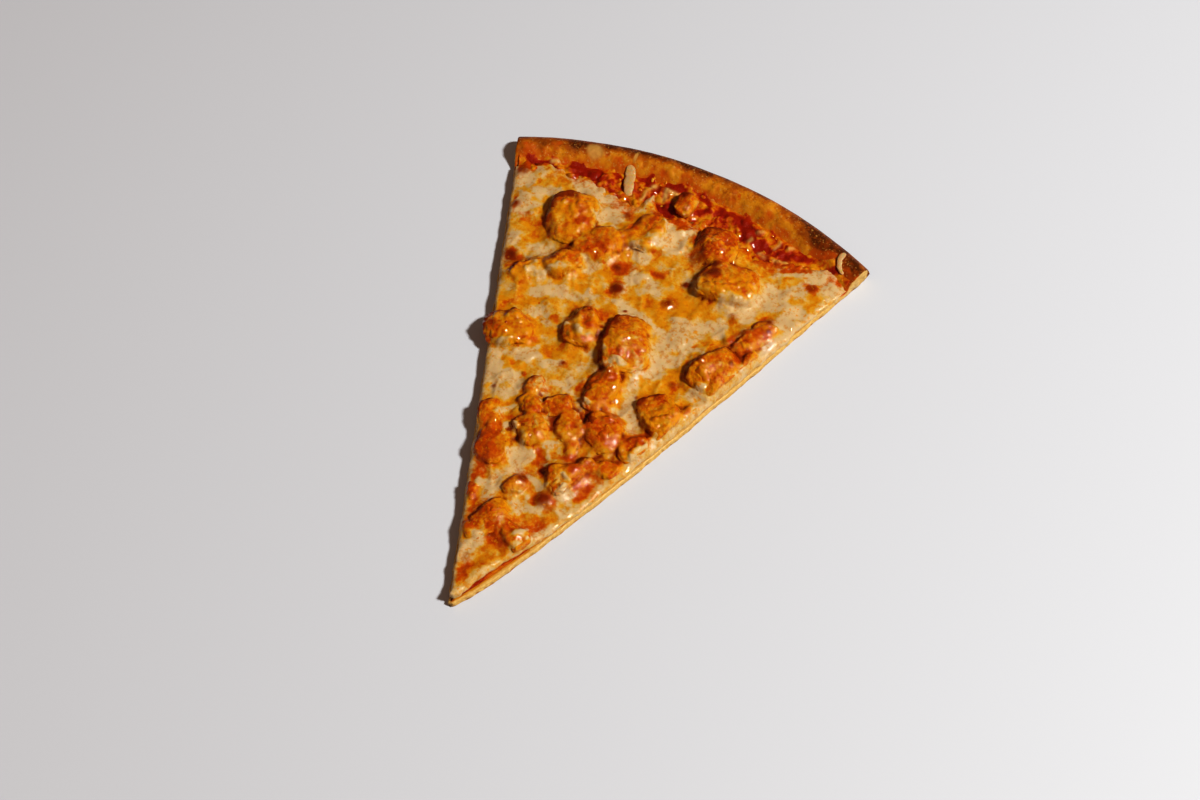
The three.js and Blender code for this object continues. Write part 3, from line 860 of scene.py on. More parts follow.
# %% Build the dough
EDGE_LIFT = 3.2  # where the top and the underside meet at the outer edge
UNDERCUT = 4.5
CUT_STEPS = 9
RIM_ROWS = 60
FLAT_END = 282  # from here out the rows follow the rim's curve
FINE_FROM = 286  # from here out nothing covers the dough
blisters = ramp(noise([X, Y], 4.2, 61, 2), 0.25, 0.9)
rim_mask = ramp(R, 284, 291)
dough_relief = 0.35 * noise([X, Y], 9, 62, 2) + 0.35 * blisters + 0.1 * noise([X, Y], 3.2, 68, 2)
dough_relief *= rim_mask * (1 - 0.8 * ramp(R, 298, 305))
TOAST_DEGREES = (-21, -16, -11, -8, 0, 6, 10, 13, 17, 21)
TOAST_RADII = (292, 294, 294, 297, 297, 298, 297, 292, 289, 288)


def underside(r):
    rise = max(0.0, (r - SLICE_RADIUS + UNDERCUT) / UNDERCUT)
    return EDGE_LIFT * (1 - math.sqrt(max(0.0, 1 - rise**2)))


def dough_rows():
    rows = []
    rim_turn = np.linspace(0, 1, RIM_ROWS)
    flat = np.concatenate([even(TIP_RADIUS, 60, 0.9)[:-1], even(60, FLAT_END, 0.75)[:-1]])
    rim = FLAT_END + (SLICE_RADIUS - FLAT_END) * np.sin(rim_turn * math.pi / 2) ** 0.9
    for r in np.concatenate([flat, rim]):
        wave = [float(noise([np.array([r]), np.array([q])], 8, 64)[0]) * 0.3 for q in (0.0, 50.0)]
        left, right = cut_angles(r)
        left, right = left + wave[0] / r, right + wave[1] / r
        width = r * (right - left)
        share = shares_across(width, 0.6 if r > FINE_FROM else 7)
        angle = left + (right - left) * share
        reach = r * shorten(angle)
        x, y = reach * np.sin(angle), reach * np.cos(angle)
        depth = np.minimum(share, 1 - share) * width
        fade = min(1.0, (SLICE_RADIUS - r) / 1.5)
        top = dough_top(np.full(x.shape, r), angle) + fade * read(dough_relief, x, y)
        bottom = underside(r)
        tall = top - bottom
        top = top - 0.18 * np.minimum(tall, 4) * quarter_round(depth, 1.0)
        across = np.column_stack([x, y, top])
        walls = []
        for end, sign, base_angle in ((-1, 1, right), (0, -1, left)):
            down = np.linspace(0, 1, CUT_STEPS)
            level = top[end] + (bottom - top[end]) * down
            crumb = noise([np.full(CUT_STEPS, r / 1.9), level * 1.3 + 90 * sign], 1.0, 65, 2)
            holes = ramp(noise([np.full(CUT_STEPS, r / 2.2), level + 40 * sign], 0.9, 66, 1), 0.25, 0.8)
            bulge = np.sin(down * math.pi)
            push = (0.3 * bulge + 0.2 * crumb - 0.55 * holes) * bulge**0.5
            turn = base_angle + sign * push / r
            out = r * shorten(turn)
            walls.append(np.column_stack([out * np.sin(turn), out * np.cos(turn), level]))
        walls[0][0], walls[1][0] = across[-1], across[0]
        turn = left + (right - left) * np.linspace(1, 0, UNDER_POINTS)
        under = floor_points(r * shorten(turn), turn, bottom)
        under[0], under[-1] = walls[0][-1], walls[1][-1]
        rows.append([across, walls[0], under, walls[1][::-1]])
    return rows


points, faces = loft(dough_rows())
x, y, z = points.T
r, angle = to_polar(x, y)
toast_start = np.interp(np.degrees(angle), TOAST_DEGREES, TOAST_RADII)
edge_share = 0.95 * ramp(r, toast_start - 5, toast_start + 8)
streak = ellipse(x, y, -40, 294, 7, 2, 95)  # two places where flour stayed on the rim
floury = ellipse(x + read(bend_x, x, y) * 0.4, y, -63, 288, 10, 9, 100)
inside_cut = np.minimum(*cut_distance(x, y)) < 1.4
top_here = dough_top(r, angle)
from_sauce = r - read(sauce_edge, x, y)
# the cheese map's brown holds burnt blisters and painted shade
toast = edge_share + 0.22 * read(noise([X, Y], 10, 67, 3), x, y) + 0.6 * read(brown, x, y)
soaked = 1 - ramp(from_sauce + 3.5 * read(noise([X, Y], 6, 69, 3), x, y), -3, 5)
paints = {
    "toast": np.clip(toast, 0, 1.2),
    "grease": 0.8 * soaked * (r > 280),
    "floury": 1 - ramp(np.minimum(streak, floury), 0.6, 1.3),
    "crumb": (inside_cut & ((z < top_here - 0.45) | (r < 283)) & (r < 305)).astype(float),
    "under": (z < 0.3).astype(float),
    "level": z,
}
crust = mesh_piece("baked_dough", points, faces, paints)
stand_for(crust, "crust", "crust")

# %% [markdown]
# ## Chicken, painted
# Each lump reads the same oil and stain as the cheese round it, so that one runs into the other, and adds
# its own grains, paler on its bumps. Its left side, away from the lamp, is browned as painted shade, like
# the cheese.

# %% Build the chicken
SHADED_SIDE = np.array([-0.9, 0.4])  # the side away from the lamp, painted browner as shade
lumps = []
for k, node in enumerate(chicken_nodes):
    points, faces, bump = chicken[node]
    x, y, z = points.T
    block = blocks[node]
    out = (points - block["middle"])[:, :2] / block["half"][0]
    shade = out @ SHADED_SIDE
    spots = noise([x, y, z], 6, 71 + k, 2)
    grains = noise([x, y, z], 1.6, 72 + k, 2)
    # painted shade: browner towards the side away from the lamp, with random browned spots on top
    browned_and_shaded = 0.85 * ramp(spots * 0.25 + shade * 0.8, 0.15, 0.85)
    paints = {
        "oil": read(oil, x, y),
        "stain": np.clip(read(stain, x, y) + 0.12 * spots + 0.14 * grains - 0.15 * bump, 0, 1),
        "brown": np.clip(np.maximum(browned_and_shaded, read(brown, x, y)), 0, 1),
    }
    lump = mesh_piece(node + "_lump", points, faces, paints)
    stand_for(lump, "chicken", node)
    lumps.append(lump)

# %% [markdown]
# ## Unmelted shreds
# Two pale sticks of cheese by the rim stayed solid. Each one is a flat tube along a bent line, thicker in
# places, with a blunt round end.

# %% Build the shreds
SHRED_STEPS = 40
SHRED_SIDES = 16
LEFT_BEND = (-33, 270), (-37.5, 279), (-40.5, 289)  # start, bend and end
RIGHT_BEND = (98, 270.5), (90.5, 275), (94, 283.5)


def shred_piece(node, width, thick, bend, seed):
    share = np.linspace(0, 1, SHRED_STEPS)
    start, middle, end = (np.array(p, float) for p in bend)
    weights = (1 - share) ** 2, 2 * share * (1 - share), share**2
    line = sum(np.outer(weight, point) for weight, point in zip(weights, (start, middle, end)))
    ahead = np.gradient(line, axis=0)
    ahead /= np.linalg.norm(ahead, axis=1)[:, None]
    sideways = np.column_stack([ahead[:, 1], -ahead[:, 0]])
    blunt = np.sqrt(np.maximum(0, 1 - np.abs(2 * share - 1) ** 7)) + 0.02
    turns = np.linspace(0, 2 * math.pi, SHRED_SIDES, endpoint=False)
    points = []
    for k in range(SHRED_STEPS):
        floor = float(read(ground_under, *line[k])) + thick * 0.15
        uneven = 1 + 0.12 * noise([np.full(SHRED_SIDES, share[k] * 20), turns], 3, seed, 2)
        half = width / 2 * (0.8 + 0.25 * share[k]) * blunt[k]
        out = np.sign(np.cos(turns)) * np.abs(np.cos(turns)) ** 0.8 * half * uneven
        up = np.sign(np.sin(turns)) * np.abs(np.sin(turns)) ** 0.8 * thick / 2 * blunt[k] * uneven
        points.append(np.column_stack([line[k] + np.outer(out, sideways[k]), floor + up]))
    faces = []
    for k in range(SHRED_STEPS - 1):
        for j in range(SHRED_SIDES):
            a, b = k * SHRED_SIDES + j, k * SHRED_SIDES + (j + 1) % SHRED_SIDES
            faces.append((a, b, b + SHRED_SIDES, a + SHRED_SIDES))
    last = (SHRED_STEPS - 1) * SHRED_SIDES
    faces.append(tuple(range(SHRED_SIDES - 1, -1, -1)))
    faces.append(tuple(range(last, last + SHRED_SIDES)))
    piece = mesh_piece(node + "_stick", np.concatenate(points), faces, {})
    mesh = bmesh.new()
    mesh.from_mesh(piece.data)
    bmesh.ops.recalc_face_normals(mesh, faces=mesh.faces)
    mesh.to_mesh(piece.data)
    mesh.free()
    stand_for(piece, "shred", node)
    return piece


ground_under = blur(np.maximum(np.maximum(sauce_height, dough_here), cheese_height * (R < 266)), 0.8)
shreds = [
    shred_piece("cheese_shred_1", width=6.0, thick=1.7, bend=LEFT_BEND, seed=81),
    shred_piece("cheese_shred_2", width=3.0, thick=1.4, bend=RIGHT_BEND, seed=82),
]

# %% [markdown]
# ## Finishes
# Colours are picked as they look and turned into the linear values that shaders want. Three effects are
# shared by several finishes, so they are node groups: cloudy patches, round specks, and the fine wet relief
# that breaks up the gloss of anything oily.

# %% Colours and nodes


def colour(red, green, blue):
    def linear(value):
        value /= 255
        return value / 12.92 if value <= 0.04045 else ((value + 0.055) / 1.055) ** 2.4

    return (linear(red), linear(green), linear(blue), 1)


def add(tree, kind, inputs=(), **settings):
    node = tree.nodes.new(kind)
    for label, value in settings.items():
        setattr(node, label, value)
    for socket, value in dict(inputs).items():
        if isinstance(value, bpy.types.NodeSocket):
            tree.links.new(value, node.inputs[socket])
        else:
            node.inputs[socket].default_value = value
    return node


def maths(tree, operation, a, b=0.0, c=0.0, clamp=False):
    return add(tree, "ShaderNodeMath", {0: a, 1: b, 2: c}, operation=operation, use_clamp=clamp).outputs[0]


def blend(tree, share, a, b):
    mix = add(tree, "ShaderNodeMix", data_type="RGBA", clamp_factor=True)
    for socket, value in ((mix.inputs[0], share), (mix.inputs[6], a), (mix.inputs[7], b)):
        if isinstance(value, bpy.types.NodeSocket):
            tree.links.new(value, socket)
        else:
            socket.default_value = value
    return mix.outputs[2]


def share_between(tree, value, low, high):
    return add(tree, "ShaderNodeMapRange", {0: value, 1: low, 2: high}).outputs[0]


def painted(tree, label):
    return add(tree, "ShaderNodeAttribute", attribute_name=label).outputs["Fac"]


def ramp_colours(tree, share, stops):
    node = add(tree, "ShaderNodeValToRGB", {"Fac": share})
    elements = node.color_ramp.elements
    elements[0].position, elements[0].color = stops[0]
    elements[1].position, elements[1].color = stops[-1]
    for position, tone in stops[1:-1]:
        elements.new(position).color = tone
    return node.outputs["Color"]


print("a mid grey in linear values:", [round(v, 3) for v in colour(128, 128, 128)])

# %% [markdown]
# ## Three shared effects
# Each effect is a node group with its sizes in millimetres, and each puts out one number: a mask or a
# height. Cloudy patches come from smooth noise cut between two levels. Round specks keep some cells of a
# cell pattern. Wet relief is coarse noise with a little fine noise on it.

# %% Patches, specks and relief


def effect_group(name, output, **inputs):
    tree = bpy.data.node_groups.new(name, "ShaderNodeTree")
    for label, default in inputs.items():
        socket = tree.interface.new_socket(label, in_out="INPUT", socket_type="NodeSocketFloat")
        socket.default_value = default
    tree.interface.new_socket(output, in_out="OUTPUT", socket_type="NodeSocketFloat")
    return tree, tree.nodes.new("NodeGroupInput").outputs, tree.nodes.new("NodeGroupOutput").inputs


def per_metre(tree, millimetres):
    return maths(tree, "DIVIDE", 1000.0, millimetres)


def patches_group():
    tree, given, result = effect_group("Cloudy patches", "Mask", Size=4, Low=0.4, High=0.6, Seed=0)
    where = add(tree, "ShaderNodeTexCoord").outputs["Object"]
    cloud = add(
        tree,
        "ShaderNodeTexNoise",
        {"Vector": where, "W": given["Seed"], "Scale": per_metre(tree, given["Size"]), "Detail": 2.0},
        noise_dimensions="4D",
    )
    spread = add(tree, "ShaderNodeMapRange", {0: cloud.outputs[0], 1: given["Low"], 2: given["High"]})
    spread.interpolation_type = "SMOOTHSTEP"
    tree.links.new(spread.outputs[0], result["Mask"])
    return tree


def specks_group():
    tree, given, result = effect_group("Round specks", "Mask", Spacing=3, Reach=0.25, Share=0.5, Seed=0)
    where = add(tree, "ShaderNodeTexCoord").outputs["Object"]
    cells = add(
        tree,
        "ShaderNodeTexVoronoi",
        {"Vector": where, "W": given["Seed"], "Scale": per_metre(tree, given["Spacing"])},
        voronoi_dimensions="4D",
    )
    chance = add(tree, "ShaderNodeSeparateColor", {0: cells.outputs["Color"]}).outputs
    kept = maths(tree, "LESS_THAN", chance[0], given["Share"])
    reach = maths(tree, "MULTIPLY", given["Reach"], maths(tree, "ADD", 0.4, chance[1]))
    spot = share_between(tree, cells.outputs["Distance"], reach, maths(tree, "MULTIPLY", reach, 0.6))
    tree.links.new(maths(tree, "MULTIPLY", spot, kept), result["Mask"])
    return tree


def relief_group():
    tree, given, result = effect_group("Wet relief", "Height", Size=1, Fine=0.4)
    where = add(tree, "ShaderNodeTexCoord").outputs["Object"]
    scale = per_metre(tree, given["Size"])
    broad = add(tree, "ShaderNodeTexNoise", {"Vector": where, "Scale": scale, "Detail": 1.0})
    finer = maths(tree, "MULTIPLY", scale, 2.7)
    grains = add(tree, "ShaderNodeTexNoise", {"Vector": where, "Scale": finer, "Detail": 0.0})
    height = maths(tree, "ADD", broad.outputs[0], maths(tree, "MULTIPLY", grains.outputs[0], given["Fine"]))
    tree.links.new(height, result["Height"])
    return tree


PATCHES, SPECKS, RELIEF = patches_group(), specks_group(), relief_group()


def effect(tree, group, **inputs):
    node = tree.nodes.new("ShaderNodeGroup")
    node.node_tree = group
    for label, value in inputs.items():
        node.inputs[label].default_value = value
    return node.outputs[0]


def new_finish(name, **constants):
    finish = bpy.data.materials.new(name)
    finish.use_nodes = True
    tree = finish.node_tree
    shader = tree.nodes["Principled BSDF"]
    for label, value in constants.items():
        shader.inputs[label.replace("_", " ")].default_value = value
    return finish, tree, shader.inputs


def clouds_about_zero(tree, size, low, high, seed):
    return maths(tree, "SUBTRACT", effect(tree, PATCHES, Size=size, Low=low, High=high, Seed=seed), 0.5)


def wet_bump(tree, size, fine, strength, depth):
    height = effect(tree, RELIEF, Size=size, Fine=fine)
    settings = {"Height": height, "Strength": strength, "Distance": depth * MM}
    return add(tree, "ShaderNodeBump", settings).outputs[0]


def wear(pieces, finish):
    for piece in pieces:
        piece.data.materials.clear()
        piece.data.materials.append(finish)
    print(finish.name, "finish:", len(finish.node_tree.nodes), "nodes, on", len(pieces), "pieces")


print("effects:", PATCHES.name, SPECKS.name, RELIEF.name, sep=", ")

# %% [markdown]
# ## Cheese
# Cheese and chicken share one range of colours, from pale cream through butter, gold and orange to red, and
# then brown and burnt, driven by what was painted on the points. The brown and burnt end is real browning,
# and also painted shade on slopes that face away from the lamp and in creases. The wet look is a thin
# clear coat in small patches, with a relief of its own, so that it breaks into separate glints.

# %% Cheese finish
PALE = colour(195, 166, 127)
CREAM = colour(193, 156, 94)
BUTTER = colour(198, 148, 48)
GOLD = colour(198, 132, 16)
ORANGE = colour(180, 80, 3)
RED_ORANGE = colour(150, 52, 2)
TOASTED = colour(130, 50, 1)
BURNT = colour(98, 28, 1)


def shifted(tree, label, clouds, fine, amount):
    share = maths(tree, "MULTIPLY_ADD", clouds, amount, painted(tree, label))
    return maths(tree, "MULTIPLY_ADD", fine, amount * 0.5, share)


def baked_tone(tree, clouds, fine, spread):
    """The colour that melted cheese and glazed meat share, so that one runs into the other."""
    oil = shifted(tree, "oil", clouds, fine, spread * 0.8)
    tone = ramp_colours(tree, oil, [(0.0, PALE), (0.22, CREAM), (0.45, BUTTER), (0.75, GOLD)])
    stain = maths(tree, "SUBTRACT", shifted(tree, "stain", clouds, fine, spread), 0.07)
    tone = blend(tree, maths(tree, "MULTIPLY", stain, 1.5, clamp=True), tone, ORANGE)
    deep = share_between(tree, stain, 0.65, 1.25)
    tone = blend(tree, deep, tone, RED_ORANGE)
    # the brown paint holds real browning and painted shade, so the toasted colour is partly painted shade
    browned_and_shaded = maths(tree, "MULTIPLY_ADD", clouds, 0.15, painted(tree, "brown"))
    tone = blend(tree, maths(tree, "MULTIPLY", browned_and_shaded, 1.5, clamp=True), tone, TOASTED)
    # its darkest share turns burnt: blister tops, and the deepest painted shade
    charred = share_between(tree, browned_and_shaded, 0.6, 1.1)
    return blend(tree, charred, tone, BURNT), maths(tree, "ADD", oil, stain)


def cheese_finish():
    finish, tree, shader = new_finish(
        "cheese",
        Subsurface_Weight=0.2,
        Subsurface_Radius=(1.0, 0.4, 0.15),
        Subsurface_Scale=0.0016,
        Specular_IOR_Level=0.08,
        Coat_Roughness=0.06,
        IOR=1.45,
    )
    clouds = clouds_about_zero(tree, 2.6, 0.3, 0.7, seed=1)
    fine = clouds_about_zero(tree, 1.2, 0.36, 0.64, seed=2)
    tone, wetness = baked_tone(tree, clouds, fine, 0.36)
    flecks = effect(tree, PATCHES, Size=2.2, Low=0.58, High=0.66, Seed=3)
    flecks = maths(tree, "MULTIPLY", flecks, maths(tree, "MULTIPLY", painted(tree, "fleck"), 0.8))
    tone = blend(tree, flecks, tone, GOLD)
    dots = effect(tree, SPECKS, Spacing=5, Reach=0.14, Share=0.35, Seed=19)
    tone = blend(tree, maths(tree, "MULTIPLY", dots, painted(tree, "fleck")), tone, ORANGE)
    tree.links.new(tone, shader["Base Color"])
    wet = share_between(tree, wetness, 0.1, 1.0)
    tree.links.new(maths(tree, "MULTIPLY_ADD", wet, -0.1, 0.5), shader["Roughness"])
    droplets = effect(tree, PATCHES, Size=2.6, Low=0.43, High=0.54, Seed=18)
    droplets = maths(tree, "MULTIPLY", droplets, maths(tree, "MULTIPLY_ADD", wet, 0.6, 0.3))
    tree.links.new(maths(tree, "ADD", droplets, 0.2), shader["Coat Weight"])
    relief = wet_bump(tree, 2.6, 0.3, strength=0.5, depth=0.4)
    tree.links.new(relief, shader["Normal"])
    glints = wet_bump(tree, 2.2, 0.35, strength=0.8, depth=0.7)
    tree.links.new(glints, shader["Coat Normal"])
    return finish


wear([cheese], cheese_finish())

# %% [markdown]
# ## Chicken
# The same colours, with finer clouds, golden grains that keep off the browned parts and the painted shade,
# and more and smaller glints.

# %% Chicken finish


def chicken_finish():
    finish, tree, shader = new_finish(
        "chicken",
        Subsurface_Weight=0.15,
        Subsurface_Radius=(1.0, 0.4, 0.15),
        Subsurface_Scale=0.0012,
        Specular_IOR_Level=0.06,
        Coat_Roughness=0.05,
        Roughness=0.45,
        IOR=1.45,
    )
    clouds = clouds_about_zero(tree, 2.2, 0.3, 0.7, seed=4)
    fine = clouds_about_zero(tree, 1.1, 0.36, 0.64, seed=5)
    tone, _ = baked_tone(tree, clouds, fine, 0.36)
    grains = effect(tree, PATCHES, Size=1.5, Low=0.56, High=0.62, Seed=21)
    # the grains keep off the brown paint, which holds real browning and painted shade
    bare = maths(tree, "SUBTRACT", 0.6, painted(tree, "brown"), clamp=True)
    tone = blend(tree, maths(tree, "MULTIPLY", grains, bare), tone, GOLD)
    tree.links.new(tone, shader["Base Color"])
    droplets = effect(tree, PATCHES, Size=2.0, Low=0.42, High=0.53, Seed=6)
    tree.links.new(maths(tree, "MULTIPLY_ADD", droplets, 0.7, 0.08), shader["Coat Weight"])
    relief = wet_bump(tree, 1.6, 0.5, strength=0.5, depth=0.5)
    tree.links.new(relief, shader["Normal"])
    glints = wet_bump(tree, 1.2, 0.45, strength=0.9, depth=0.55)
    tree.links.new(glints, shader["Coat Normal"])
    return finish


wear(lumps, chicken_finish())

# %% [markdown]
# ## Sauce
# Sauce is dark red where it is bare and orange where cheese melted into it, and glossy all over.

# %% Sauce finish
SAUCE_RED = colour(150, 38, 0)
SAUCE_DARK = colour(138, 27, 0)
SAUCE_ORANGE = colour(180, 80, 1)


def sauce_finish():
    finish, tree, shader = new_finish(
        "sauce", Specular_IOR_Level=0.12, Roughness=0.45, Coat_Weight=0.6, Coat_Roughness=0.07
    )
    clouds = clouds_about_zero(tree, 2, 0.3, 0.7, seed=7)
    cheesy = maths(tree, "MULTIPLY_ADD", clouds, 0.3, painted(tree, "cheesy"))
    stops = [(0.1, SAUCE_DARK), (0.35, SAUCE_RED), (0.6, SAUCE_ORANGE), (1.0, GOLD)]
    tone = ramp_colours(tree, cheesy, stops)
    # pale strands of cheese, a few of them painted highlights
    tone = blend(tree, maths(tree, "MULTIPLY", painted(tree, "pale"), 0.9), tone, CREAM)
    tree.links.new(tone, shader["Base Color"])
    relief = wet_bump(tree, 1.3, 0.8, strength=0.5, depth=0.6)
    tree.links.new(relief, shader["Normal"])
    return finish


wear([sauce], sauce_finish())

# %% [markdown]
# ## Dough
# Dough has a golden skin that toasts to brown outwards, an oily edge beside the sauce, a pale crumb at the
# cuts and a spotted underside. Each of these is a function of its own, and masks on the points choose.

# %% Dough finish
DOUGH_GOLD = colour(194, 128, 28)
DOUGH_TAN = colour(168, 94, 14)
DOUGH_BROWN = colour(122, 62, 14)
DOUGH_CHAR = colour(84, 40, 8)
DOUGH_PALE = colour(192, 150, 84)
CRUMB = colour(206, 170, 104)


def dough_skin(tree):
    """Gold to brown, with darker specks, oil beside the sauce and a little flour."""
    cloudy = clouds_about_zero(tree, 4, 0.3, 0.7, seed=8)
    share = maths(tree, "MULTIPLY_ADD", cloudy, 0.35, painted(tree, "toast"))
    stops = [(0.15, DOUGH_GOLD), (0.5, DOUGH_TAN), (0.85, DOUGH_BROWN), (1.0, DOUGH_CHAR)]
    skin = ramp_colours(tree, share, stops)
    specks = effect(tree, PATCHES, Size=1.6, Low=0.54, High=0.66, Seed=9)
    specks = maths(tree, "MULTIPLY", specks, maths(tree, "MULTIPLY_ADD", share, 0.6, 0.2))
    skin = blend(tree, specks, skin, DOUGH_BROWN)
    grease = maths(tree, "MULTIPLY_ADD", cloudy, 0.5, painted(tree, "grease"))
    skin = blend(tree, maths(tree, "MULTIPLY", grease, 1.0, clamp=True), skin, ORANGE)
    pale = maths(tree, "MULTIPLY", effect(tree, PATCHES, Size=1.3, Low=0.58, High=0.68, Seed=10), 0.5)
    pale = maths(tree, "MAXIMUM", pale, maths(tree, "MULTIPLY", painted(tree, "floury"), 0.75))
    return blend(tree, pale, skin, DOUGH_PALE)


def dough_crumb(tree):
    """The cut faces: pale and open, with a thin brown line along the bottom."""
    open_crumb = effect(tree, PATCHES, Size=1.6, Low=0.35, High=0.65, Seed=11)
    crumb = blend(tree, open_crumb, DOUGH_PALE, CRUMB)
    crusty = share_between(tree, painted(tree, "level"), 0.9, 0.3)
    return blend(tree, crusty, crumb, DOUGH_TAN)


def dough_underside(tree):
    """Tan where it touched the hot stone, with round brown spots."""
    patches = effect(tree, PATCHES, Size=14, Low=0.42, High=0.62, Seed=12)
    baked = blend(tree, patches, DOUGH_PALE, DOUGH_TAN)
    charred = effect(tree, SPECKS, Spacing=9, Reach=0.3, Share=0.55, Seed=13)
    return blend(tree, maths(tree, "MULTIPLY", charred, 0.8), baked, DOUGH_BROWN)


def dough_finish():
    finish, tree, shader = new_finish(
        "dough", IOR=1.45, Specular_IOR_Level=0.15, Roughness=0.55, Coat_Roughness=0.2
    )
    tone = blend(tree, painted(tree, "crumb"), dough_skin(tree), dough_crumb(tree))
    tone = blend(tree, painted(tree, "under"), tone, dough_underside(tree))
    tree.links.new(tone, shader["Base Color"])
    tree.links.new(maths(tree, "MULTIPLY_ADD", painted(tree, "grease"), 0.5, 0.15), shader["Coat Weight"])
    relief = wet_bump(tree, 2.4, 0.35, strength=0.6, depth=0.4)
    tree.links.new(relief, shader["Normal"])
    return finish


wear([crust], dough_finish())

# %% [markdown]
# ## Shreds, specks and bits
# The unmelted shreds are pale and a little see-through. The specks are orange to brown. The bits in the
# sauce run from orange to butter.

# %% Shred, speck and bit finishes
SHRED_PALE = colour(190, 156, 116)


def shred_finish():
    finish, tree, shader = new_finish(
        "shred",
        Subsurface_Weight=0.5,
        Subsurface_Scale=0.002,
        Specular_IOR_Level=0.15,
        Roughness=0.35,
        Coat_Weight=0.5,
    )
    cloudy = effect(tree, PATCHES, Size=1.8, Low=0.4, High=0.7, Seed=14)
    tone = blend(tree, maths(tree, "MULTIPLY", cloudy, 0.5), SHRED_PALE, BUTTER)
    dots = effect(tree, SPECKS, Spacing=6, Reach=0.2, Share=0.4, Seed=20)
    tone = blend(tree, dots, tone, ORANGE)
    tree.links.new(tone, shader["Base Color"])
    tree.links.new(wet_bump(tree, 0.9, 0.5, strength=0.4, depth=0.4), shader["Normal"])
    return finish


def speck_finish():
    finish, tree, shader = new_finish("speck", Roughness=0.25, Coat_Weight=0.5, Coat_Roughness=0.08)
    cloudy = effect(tree, PATCHES, Size=6, Low=0.4, High=0.6, Seed=15)
    tree.links.new(blend(tree, cloudy, ORANGE, TOASTED), shader["Base Color"])
    return finish


def bit_finish():
    finish, tree, shader = new_finish(
        "cheesy bit", Roughness=0.4, Specular_IOR_Level=0.12, Coat_Weight=0.6, Coat_Roughness=0.08
    )
    cloudy = effect(tree, PATCHES, Size=3, Low=0.4, High=0.6, Seed=16)
    other = effect(tree, PATCHES, Size=4, Low=0.55, High=0.62, Seed=17)
    tone = blend(tree, other, blend(tree, cloudy, SAUCE_ORANGE, GOLD), BUTTER)
    tree.links.new(tone, shader["Base Color"])
    return finish


wear(shreds, shred_finish())
speck_look, bit_look = speck_finish(), bit_finish()
print("finishes for the small things:", speck_look.name, "and", bit_look.name)

# %% [markdown]
# ## Small things scattered by Geometry Nodes
# Specks of sauce sit all over the cheese, and torn bits of cheese lie in the sauce. They repeat hundreds of
# times over a surface, which is what a scatter tree is for: points are strewn on the faces where a painted
# mask allows it, a flattened ball is placed on each, and the result is made real so that it can be
# exported. The tree's inputs say how many, how large, how flat and how narrow.

# %% The scatter tree
SCATTER_NUMBERS = {"Density": 1e4, "Smallest": 0.0003, "Largest": 0.0006, "Flatness": 0.4, "Narrowest": 0.5}
SCATTER_OTHERS = {"Mask": "String", "Seed": "Int", "Finish": "Material"}


def scatter_tree():
    tree = bpy.data.node_groups.new("Scatter bits", "GeometryNodeTree")
    kinds = {"Surface": "Geometry"} | dict.fromkeys(SCATTER_NUMBERS, "Float") | SCATTER_OTHERS
    for label, kind in kinds.items():
        socket = tree.interface.new_socket(label, in_out="INPUT", socket_type="NodeSocket" + kind)
        if label in SCATTER_NUMBERS:
            socket.default_value = SCATTER_NUMBERS[label]
    tree.interface.new_socket("Bits", in_out="OUTPUT", socket_type="NodeSocketGeometry")
    given = tree.nodes.new("NodeGroupInput").outputs
    seed = given["Seed"]
    mask = add(tree, "GeometryNodeInputNamedAttribute", {"Name": given["Mask"]}, data_type="FLOAT").outputs
    density = maths(tree, "MULTIPLY", given["Density"], mask["Attribute"])
    where = {"Mesh": given["Surface"], "Density": density, "Seed": seed}
    strewn = add(tree, "GeometryNodeDistributePointsOnFaces", where, distribute_method="RANDOM").outputs
    ball = add(tree, "GeometryNodeMeshIcoSphere", {"Radius": 1, "Subdivisions": 2}).outputs
    between = {2: given["Smallest"], 3: given["Largest"], "Seed": seed}
    long = add(tree, "FunctionNodeRandomValue", between, data_type="FLOAT").outputs[1]
    narrowing = {2: given["Narrowest"], 3: 1.0}
    narrow = add(tree, "FunctionNodeRandomValue", narrowing, data_type="FLOAT").outputs[1]
    wide = maths(tree, "MULTIPLY", long, narrow)
    tall = maths(tree, "MULTIPLY", long, given["Flatness"])
    scale = add(tree, "ShaderNodeCombineXYZ", {"X": long, "Y": wide, "Z": tall}).outputs[0]
    placing = {"Points": strewn["Points"], "Instance": ball["Mesh"], "Rotation": strewn["Rotation"]}
    placed = add(tree, "GeometryNodeInstanceOnPoints", placing | {"Scale": scale}).outputs[0]
    full_turn = {0: (0, 0, 0), 1: (0, 0, 2 * math.pi)}
    turn = add(tree, "FunctionNodeRandomValue", full_turn, data_type="FLOAT_VECTOR").outputs[0]
    turned = add(tree, "GeometryNodeRotateInstances", {"Instances": placed, "Rotation": turn}).outputs[0]
    real = add(tree, "GeometryNodeRealizeInstances", {"Geometry": turned}).outputs[0]
    smooth = add(tree, "GeometryNodeSetShadeSmooth", {"Geometry": real}).outputs[0]
    finished = add(tree, "GeometryNodeSetMaterial", {"Geometry": smooth, "Material": given["Finish"]})
    add(tree, "NodeGroupOutput", {"Bits": finished.outputs[0]})
    return tree


def grow(name, tree, surface, **settings):
    """Runs the tree on a copy of the surface and keeps the result as a plain mesh."""
    holder = bpy.data.objects.new(name, surface.data)
    bpy.context.scene.collection.objects.link(holder)
    modifier = holder.modifiers.new("scatter", "NODES")
    modifier.node_group = tree
    for socket in tree.interface.items_tree:
        if socket.in_out == "INPUT" and socket.name in settings:
            modifier[socket.identifier] = settings[socket.name]
    evaluated = holder.evaluated_get(bpy.context.evaluated_depsgraph_get())
    mesh = bpy.data.meshes.new_from_object(evaluated)
    holder.modifiers.clear()
    holder.data = mesh
    mesh.name = name
    return holder


